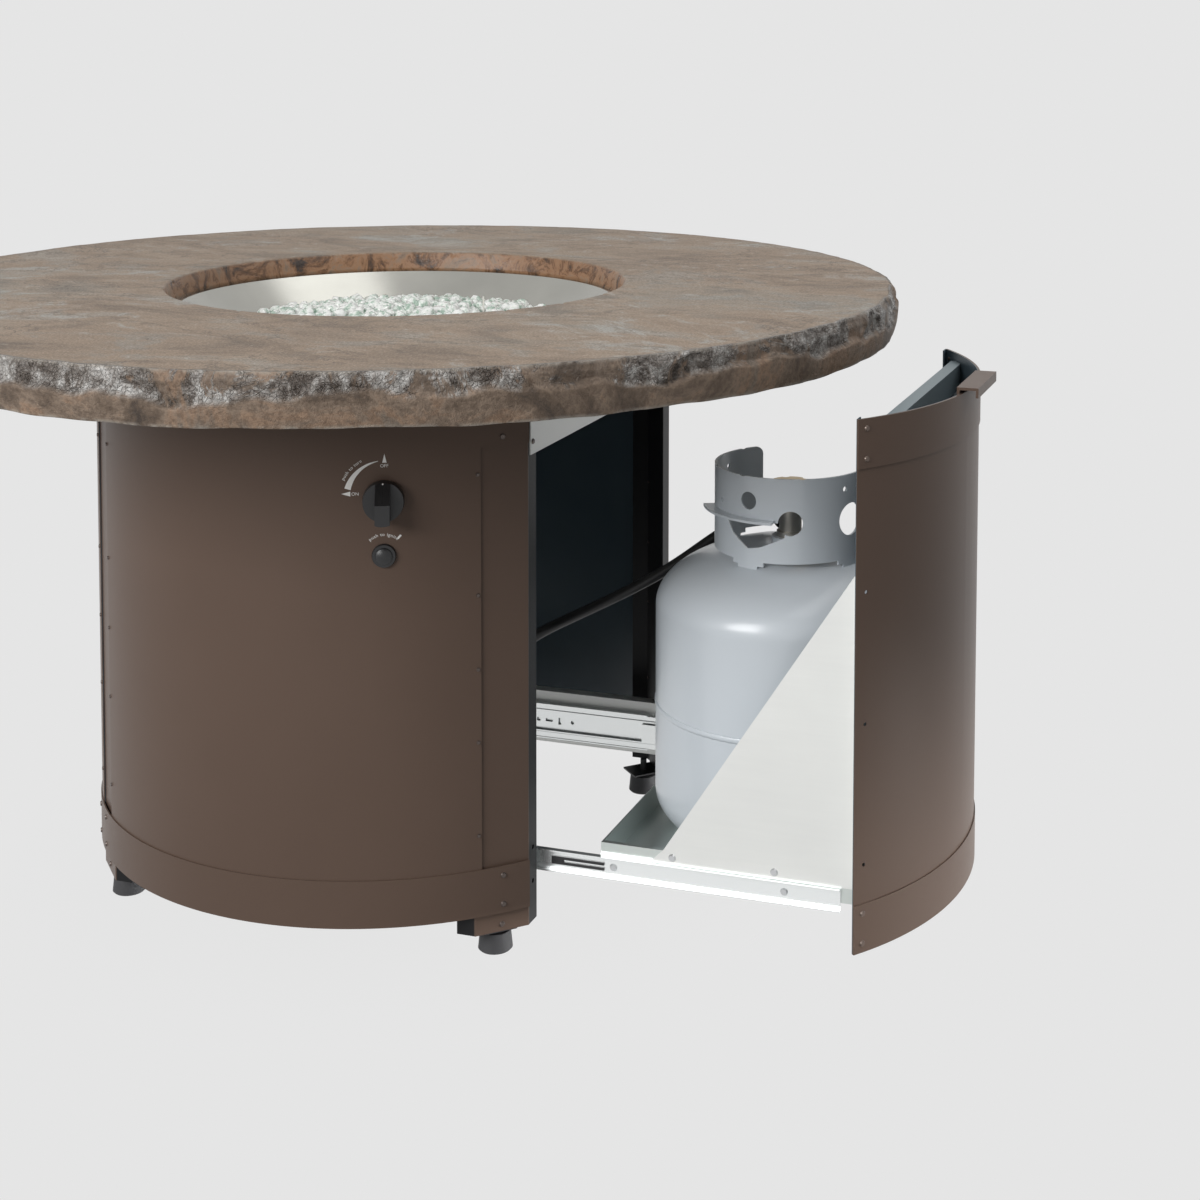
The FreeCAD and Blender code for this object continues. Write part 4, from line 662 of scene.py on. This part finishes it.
def beadShape():
    # a ball of few faces: rings between two poles, as points and triangles
    rows, columns = gems["beadRows"], gems["beadColumns"]
    tilt = np.linspace(0.0, np.pi, rows + 2)[1:-1]
    turn = fullTurn(columns)
    ball = np.stack([np.outer(np.sin(tilt), np.cos(turn)), np.outer(np.sin(tilt), np.sin(turn)),
                     np.outer(np.cos(tilt), np.ones(columns))], -1).reshape(-1, 3)
    ball = np.vstack([ball, [[0, 0, 1]], [[0, 0, -1]]])
    numbers = np.arange(rows * columns).reshape(rows, columns)
    after = np.roll(numbers, -1, 1)
    upper, beside = numbers[:-1].ravel(), after[:-1].ravel()
    below, beyond = numbers[1:].ravel(), after[1:].ravel()
    pole = np.full(columns, rows * columns)
    return ball, np.concatenate([
        np.stack([upper, below, beyond], 1), np.stack([upper, beyond, beside], 1),
        np.stack([pole, numbers[0], after[0]], 1),
        np.stack([pole + 1, after[-1], numbers[-1]], 1)])


def makeGems():
    # loose pieces: each is the bead squashed three ways, dented, turned and set on the heap
    count = gems["count"]
    chance = np.random.default_rng(gems["seed"])
    away = np.sqrt(chance.uniform(0, 1, count)) * (gems["bank"] - gems["inset"])
    angle = chance.uniform(0, 2 * np.pi, count)
    size = chance.uniform(0, 1, count) ** 1.5 * (gems["large"] - gems["small"]) + gems["small"]
    height = heapHeight(away) - size * gems["sunk"] + chance.uniform(*gems["heave"], count)
    ball, triangles = beadShape()
    shape = ball[None] * size[:, None, None] * chance.uniform(*gems["squash"], (count, 1, 3))
    dents = chance.standard_normal((count, len(ball), 1)).clip(-1, 1)
    shape = shape * (1 + gems["dents"] * dents)
    spin = chance.uniform(0, 2 * np.pi, (count, 3))
    for axis in range(3):
        first, second = (axis + 1) % 3, (axis + 2) % 3
        cosine, sine = np.cos(spin[:, axis])[:, None], np.sin(spin[:, axis])[:, None]
        one = shape[:, :, first] * cosine - shape[:, :, second] * sine
        two = shape[:, :, first] * sine + shape[:, :, second] * cosine
        shape[:, :, first], shape[:, :, second] = one, two
    spots = np.stack([table["axis"] + away * np.cos(angle), away * np.sin(angle), height], -1)
    points = (shape + spots[:, None, :]).reshape(-1, 3)
    faces = (triangles[None] + (np.arange(count) * len(ball))[:, None, None]).reshape(-1, 3)
    piece = facePiece("glass_pieces", points, faces, "glass")
    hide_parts("glass_gems")


def makeBed():
    # the depth of the glass: a round sheet that follows the heap just under its loose pieces
    turn, radii = fullTurn(gems["bedColumns"]), np.array(gems["bedRadii"])
    bed = np.stack([table["axis"] + np.outer(radii, np.cos(turn)),
                    np.outer(radii, np.sin(turn)),
                    np.outer(heapHeight(radii) - gems["bedBelow"], np.ones(len(turn)))], -1)
    gridPiece("glass_bed", bed, "bed", aroundV=True)


makeGems()
makeBed()
print("glass made")


# the gas hose

hose = {"radius": 0.0065, "around": 20, "outletTurn": 118, "outletReach": 0.060,
        "outletLevel": 0.436, "lead": 0.036, "steps": 12}
hosePoints = [(0.370, 0.108, 0.424), (0.321, 0.086, 0.391), (0.275, 0.054, 0.356),
              (0.226, 0.032, 0.328), (0.172, 0.022, 0.300), (0.118, 0.014, 0.272),
              (0.082, -0.030, 0.246), (0.068, -0.090, 0.236), (0.062, -0.152, 0.252),
              (0.056, -0.215, 0.304), (0.05280, -0.24751, 0.392), (0.05280, -0.24751, 0.490)]


def outletPoint(extra):
    # a point on the axis of the tank valve's outlet, this far out from its mouth
    turn = math.radians(hose["outletTurn"])
    reach = hose["outletReach"] + extra
    return (table["tankX"] + reach * math.cos(turn), reach * math.sin(turn),
            hose["outletLevel"])


def curvePoints(points, steps):
    # the points of a smooth spline through its control cage, read from a curve with no bevel
    curve = bpy.data.curves.new("route", "CURVE")
    curve.dimensions = "3D"
    spline = curve.splines.new("NURBS")
    spline.points.add(len(points) - 1)
    for knot, point in zip(spline.points, points):
        knot.co = (*point, 1)
    spline.order_u = 3
    spline.use_endpoint_u = True
    spline.resolution_u = steps
    holder = bpy.data.objects.new("route", curve)
    mesh = bpy.data.meshes.new_from_object(holder)
    line = np.array([vertex.co for vertex in mesh.vertices])
    bpy.data.objects.remove(holder)
    bpy.data.meshes.remove(mesh)
    return line


def sweepCircle(line, radius, around):
    # a ring of points round each point of the line, carried along without twist
    ahead = np.gradient(line, axis=0)
    ahead /= np.linalg.norm(ahead, axis=1)[:, None]
    side = np.cross(ahead[0], (0, 0, 1.0))
    sides = []
    for direction in ahead:
        side = side - direction * np.dot(side, direction)
        side = side / np.linalg.norm(side)
        sides.append(side)
    sides = np.array(sides)[:, None, :]
    ups = np.cross(ahead, sides[:, 0])[:, None, :]
    turn = fullTurn(around)[None, :, None]
    return line[:, None, :] + radius * (sides * np.cos(turn) + ups * np.sin(turn))


def makeHose():
    # a circle carried along the route from the tank valve to the control valve
    line = curvePoints([outletPoint(0), outletPoint(hose["lead"])] + hosePoints, hose["steps"])
    points = closedEnds(sweepCircle(line, hose["radius"], hose["around"]))
    piece = gridPiece("gas_hose_tube", points[:, ::-1], "hose", aroundV=True, body=None)
    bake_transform(piece)
    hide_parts("gas_hose")


makeHose()


# white lettering on the control panel

# capShare is how tall a capital is for a font's size of one
lettering = {"raise": 0.00012, "sunk": 0.0003, "capHeight": 0.0034, "capShare": 0.69,
             "spread": 1.12, "turnRadius": 0.0462, "turnMiddle": 136, "igniteRadius": 0.0212,
             "igniteMiddle": 91, "arcRadius": 0.0415, "arcSpiral": 0.0022, "arc": (98, 163),
             "arcWidths": (0.0006, 0.0068), "arcPoints": 24, "arrowTip": 0.0001}


def onPanel(flat, level=None):
    # flat is (along, up, out) from the knob's centre: along becomes an angle round the drum
    across, up, out = flat[..., 0], flat[..., 1], flat[..., 2]
    angle = math.radians(table["controlAngle"]) + across / table["panelOut"]
    reach = table["panelOut"] + out
    height = (level or table["knobLevel"]) + up
    return np.stack([table["axis"] + reach * np.cos(angle), reach * np.sin(angle), height], -1)


def inkWord(name, words, spot=(0, 0), *, arc=None, level=None, spread=1.0):
    # letters as a thin raised sheet; with an arc (radius, middle angle) every point's distance
    # along the line becomes an angle, and its height adds to the radius
    curve = bpy.data.curves.new(name, "FONT")
    curve.body = words
    curve.size = 1
    curve.space_character = spread
    curve.align_x = "CENTER"
    curve.extrude = 0.5
    curve.resolution_u = 3
    holder = bpy.data.objects.new(name, curve)
    mesh = bpy.data.meshes.new_from_object(holder)
    flat = np.empty(len(mesh.vertices) * 3)
    mesh.vertices.foreach_get("co", flat)
    flat = flat.reshape(-1, 3) * (lettering["capHeight"] / lettering["capShare"])
    flat[:, 2] = np.where(flat[:, 2] > 0, lettering["raise"], -lettering["sunk"])
    if arc:
        radius, middle = arc
        angle = math.radians(middle) - flat[:, 0] / radius
        reach = radius + flat[:, 1]
        flat[:, 0], flat[:, 1] = reach * np.cos(angle), reach * np.sin(angle)
    flat[:, :2] += spot
    mesh.vertices.foreach_set("co", onPanel(flat, level).ravel())
    mesh.materials.clear()
    mesh.materials.append(finishes["ink"])
    mesh.update()
    piece = put(name, mesh)
    bpy.data.objects.remove(holder)
    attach(piece, "root")


def inkStroke(name, path, widths, level=None):
    # a flat stroke along a path, as wide at each point as its width says, with a thin edge
    path = np.array(path, float)
    ahead = np.gradient(path, axis=0)
    ahead /= np.linalg.norm(ahead, axis=1)[:, None]
    side = np.stack([-ahead[:, 1], ahead[:, 0]], 1) * np.array(widths)[:, None] / 2
    lift = np.full(len(path), lettering["raise"])
    corners = [(path + side, lift), (path - side, lift),
               (path - side, lift * -2), (path + side, lift * -2)]
    flat = closedEnds(np.stack([np.column_stack(corner) for corner in corners], 1))
    gridPiece(name, onPanel(flat, level)[:, ::-1], "ink", aroundV=True, smooth=False)


def makeLettering():
    # the words for off and on with their arrows, the arc that swells from one to the other,
    # and the two lines of small words round the knob and the igniter
    tip = lettering["arrowTip"]
    inkWord("word_off", "OFF", (0.0008, 0.0345))
    inkStroke("arrow_off", [(0.001, 0.0395), (0.001, 0.0442), (0.001, 0.0489)],
              (0.0046, 0.0023, tip))
    inkWord("word_on", "ON", (-0.0297, 0.0048))
    inkStroke("arrow_on", [(-0.0347, 0.0064), (-0.0395, 0.0064), (-0.0440, 0.0064)],
              (0.0052, 0.0026, tip))
    turn = np.radians(np.linspace(*lettering["arc"], lettering["arcPoints"]))
    radius = lettering["arcRadius"] - np.linspace(0, lettering["arcSpiral"], len(turn))
    inkStroke("turn_arc", np.stack([radius * np.cos(turn), radius * np.sin(turn)], 1),
              np.linspace(*lettering["arcWidths"], len(turn)))
    inkWord("word_push_to_turn", "push to turn", spread=lettering["spread"],
            arc=(lettering["turnRadius"], lettering["turnMiddle"]))
    inkWord("word_push_to_ignite", "push to ignite", spread=lettering["spread"],
            arc=(lettering["igniteRadius"], lettering["igniteMiddle"]),
            level=table["igniterLevel"])
    inkStroke("spark_mark", [(0.0143, 0.0178), (0.0160, 0.0197), (0.0177, 0.0216)],
              (0.0021, 0.0021, 0.0021), level=table["igniterLevel"])


makeLettering()
print("lettering made")


# the weld round the tank

weld = {"level": 0.2335, "radius": 0.1555, "out": 0.0012, "up": 0.0034, "ripples": 90,
        "swell": 0.10, "steps": 360, "around": 8}


def makeWeld():
    # a flat oval turned round the tank, swelling and shrinking like a laid weld
    turn, bead = fullTurn(weld["steps"]), fullTurn(weld["around"])
    swell = 1 + weld["swell"] * np.sin(turn * weld["ripples"])[:, None]
    reach = weld["radius"] + weld["out"] * np.cos(bead)[None] * swell
    height = weld["level"] + weld["up"] * np.sin(bead)[None] * swell
    points = np.stack([table["tankX"] + reach * np.cos(turn)[:, None],
                       reach * np.sin(turn)[:, None], height], -1)
    gridPiece("tank_weld", points[:, ::-1], "tank", aroundU=True, aroundV=True,
                      body="drawer")


# the marks on the knob's grip, whose face slopes down from a ridge

grip = {"gap": 0.005, "ridge": 0.0281, "slope": 20 / 23, "lineHalf": 0.00045,
        "lineDeep": 0.0008, "lineUps": (0.0190, 0.0030), "linePoints": 5, "dotUp": 0.0203,
        "dotAround": 16,
        "dotRings": ((0, 0.0004), (0.00063, 0.0003), (0.0009, 0), (0, -0.0006))}


def onKnob(across, up, lift):
    # the knob's own directions: across the drum, up, and out from the grip's sloping face
    turn = math.radians(table["controlAngle"])
    reach = table["panelOut"] + grip["gap"] + grip["ridge"] - grip["slope"] * up + lift
    x = table["axis"] + reach * math.cos(turn) - across * math.sin(turn)
    y = reach * math.sin(turn) + across * math.cos(turn)
    return np.stack(np.broadcast_arrays(x, y, table["knobLevel"] + up), -1)


def makeKnobMarks():
    # a moulded line down the sloping half of the grip, painted near black as the shade in its
    # groove: a box of four corners at each point
    ups = np.linspace(*grip["lineUps"], grip["linePoints"])[:, None]
    corners = onKnob(grip["lineHalf"] * np.array([-1, 1, 1, -1]), ups,
                     grip["lineDeep"] * np.array([0, 0, -1, -1]))
    gridPiece("knob_line", closedEnds(corners)[:, ::-1], "groove", aroundV=True,
                      smooth=False, body="knob")
    # the white dot at its end: rings of a radius and a lift each
    turn = fullTurn(grip["dotAround"])
    radius, lift = np.array(grip["dotRings"]).T[:, :, None]
    points = onKnob(radius * np.cos(turn), grip["dotUp"] + radius * np.sin(turn), lift)
    gridPiece("knob_dot", points, "ink", aroundV=True, body="knob")


makeWeld()
makeKnobMarks()
print("small pieces made")


# the stage

studio = {"background": 0.784, "shadow": 0.02, "shadowFrom": 0.52, "shadowTo": 0.25,
          "bounce": 0.36, "ambient": 0.25, "light": (1.0, 0.985, 0.96),
          "floorRadii": (0.001, 1, 4, 12, 40), "floorColumns": 96}
lamps = [
    {"name": "overhead", "place": (1.4, 0.3, 3.3), "target": (0.1, 0, 0.5),
     "size": (3.6, 3.0), "power": 46},
    {"name": "front", "place": (-1.3, -3.8, 2.3), "target": (0.0, 0, 0.42),
     "size": (2.2, 2.0), "power": 152},
    {"name": "left back", "place": (-3.0, 1.9, 0.9), "target": (-0.2, 0, 0.35),
     "size": (1.3, 1.5), "power": 1.5},
    # this low one stands in for the light that a white floor throws on the door's foot
    {"name": "low beside", "place": (2.40, 0.55, 0.06), "target": (0.70, 0.05, 0.02),
     "size": (2.4, 0.10), "power": 3.2, "spread": 22},
]


def seenDirectly(board):
    # 1 for rays from the camera, from a mirror or through glass, 0 for scattered light
    ray = board.node("ShaderNodeLightPath")
    return ray("Is Camera Ray").largest(ray("Is Glossy Ray")).largest(ray("Is Transmission Ray"))


def paleFinish(name):
    # the floor is seen, mirrored and looked through as the background tone, keeps a faint
    # shadow close to the table, and gives back a plain share of the light
    board = Board(name)
    seen = seenDirectly(board)
    plain = board.node("ShaderNodeEmission", {}, {"Color": (studio["background"],) * 3,
                                                  "Strength": 1.0})
    lit = board.node("ShaderNodeBsdfDiffuse", {}, {"Color": (studio["bounce"],) * 3})
    near = board.away(table["axis"]).between(studio["shadowFrom"], studio["shadowTo"])
    shader = board.node("ShaderNodeMixShader", {}, {
        0: seen * (1 - near * studio["shadow"]), 1: lit("BSDF"), 2: plain("Emission")})
    board.node("ShaderNodeOutputMaterial", {}, {"Surface": shader("Shader")})
    return board.owner


def makeFloor():
    # a flat disc from rings of growing radius
    turn, radii = fullTurn(studio["floorColumns"]), np.array(studio["floorRadii"])
    points = np.stack([np.outer(radii, np.cos(turn)), np.outer(radii, np.sin(turn)),
                       np.zeros((len(radii), len(turn)))], -1)
    finishes["floor"] = paleFinish("pale floor")
    floor = gridPiece("floor", points, "floor", aroundV=True, body=None)


def makeWorld():
    # the background tone where it is seen directly, and a warm ambient light elsewhere
    board = Board("studio", bpy.data.worlds.new("studio"))
    bpy.context.scene.world = board.owner
    plain = board.node("ShaderNodeBackground", {}, {"Color": (studio["background"],) * 3,
                                                    "Strength": 1.0})
    lit = board.node("ShaderNodeBackground", {}, {"Color": studio["light"],
                                                  "Strength": studio["ambient"]})
    both = board.node("ShaderNodeMixShader", {}, {
        0: seenDirectly(board), 1: lit("Background"), 2: plain("Background")})
    board.node("ShaderNodeOutputWorld", {}, {"Surface": both("Shader")})


def makeLamp(name, place, target, size, power, spread=180):
    # a rectangle of light that faces its target
    light = bpy.data.lights.new(name, "AREA")
    light.shape = "RECTANGLE"
    light.size, light.size_y = size
    light.energy = power
    light.spread = math.radians(spread)
    thing = put(name, light)
    thing.location = place
    thing.rotation_euler = (Vector(target) - Vector(place)).to_track_quat("-Z", "Y").to_euler()


# place, turn, tilt and roll in metres and degrees, solved from the photograph's ellipses and
# edges; the focal length and the lens axis are in pixels of its 1200 by 1200 picture
view = {"azimuth": 27.31, "distance": 2.4764, "height": 1.0427, "heading": 17.23,
        "down": 3.78, "roll": 0.33, "focal": 2010.0, "centre": (754.7, 131.7), "picture": 1200,
        "sensor": 36}


def makeCamera():
    azimuth, heading, down, roll = [math.radians(view[name]) for name in
                                    ("azimuth", "heading", "down", "roll")]
    spot = Vector((table["axis"] + math.sin(azimuth) * view["distance"],
                   -math.cos(azimuth) * view["distance"], view["height"]))
    ahead = Vector((-math.sin(heading) * math.cos(down), math.cos(heading) * math.cos(down),
                    -math.sin(down)))
    right = Vector((math.cos(heading), math.sin(heading), 0))
    up = right.cross(ahead)
    across = right * math.cos(roll) + up * math.sin(roll)
    above = up * math.cos(roll) - right * math.sin(roll)
    camera = bpy.data.cameras.new("camera")
    camera.sensor_width = view["sensor"]
    camera.sensor_fit = "HORIZONTAL"
    # the photograph is a crop whose middle lies off the lens axis: the stand slants the
    # camera's own depth axis by that much, and a camera taken off the stand looks straight
    middle = view["picture"] / 2
    back = -ahead - across * ((middle - view["centre"][0]) / view["focal"]) \
        - above * ((view["centre"][1] - middle) / view["focal"])
    camera.lens = view["sensor"] * view["focal"] / view["picture"] * back.length
    back.normalize()
    thing = put("camera", camera)
    thing.parent = put("camera_stand")
    slant = Matrix((across, above, back)).transposed().to_4x4()
    slant.translation = spot
    thing.matrix_parent_inverse = slant
    bpy.context.scene.camera = thing


makeFloor()
makeWorld()
for lamp in lamps:
    makeLamp(**lamp)
makeCamera()
bpy.context.scene.view_settings.view_transform = "Standard"
print("stage set")
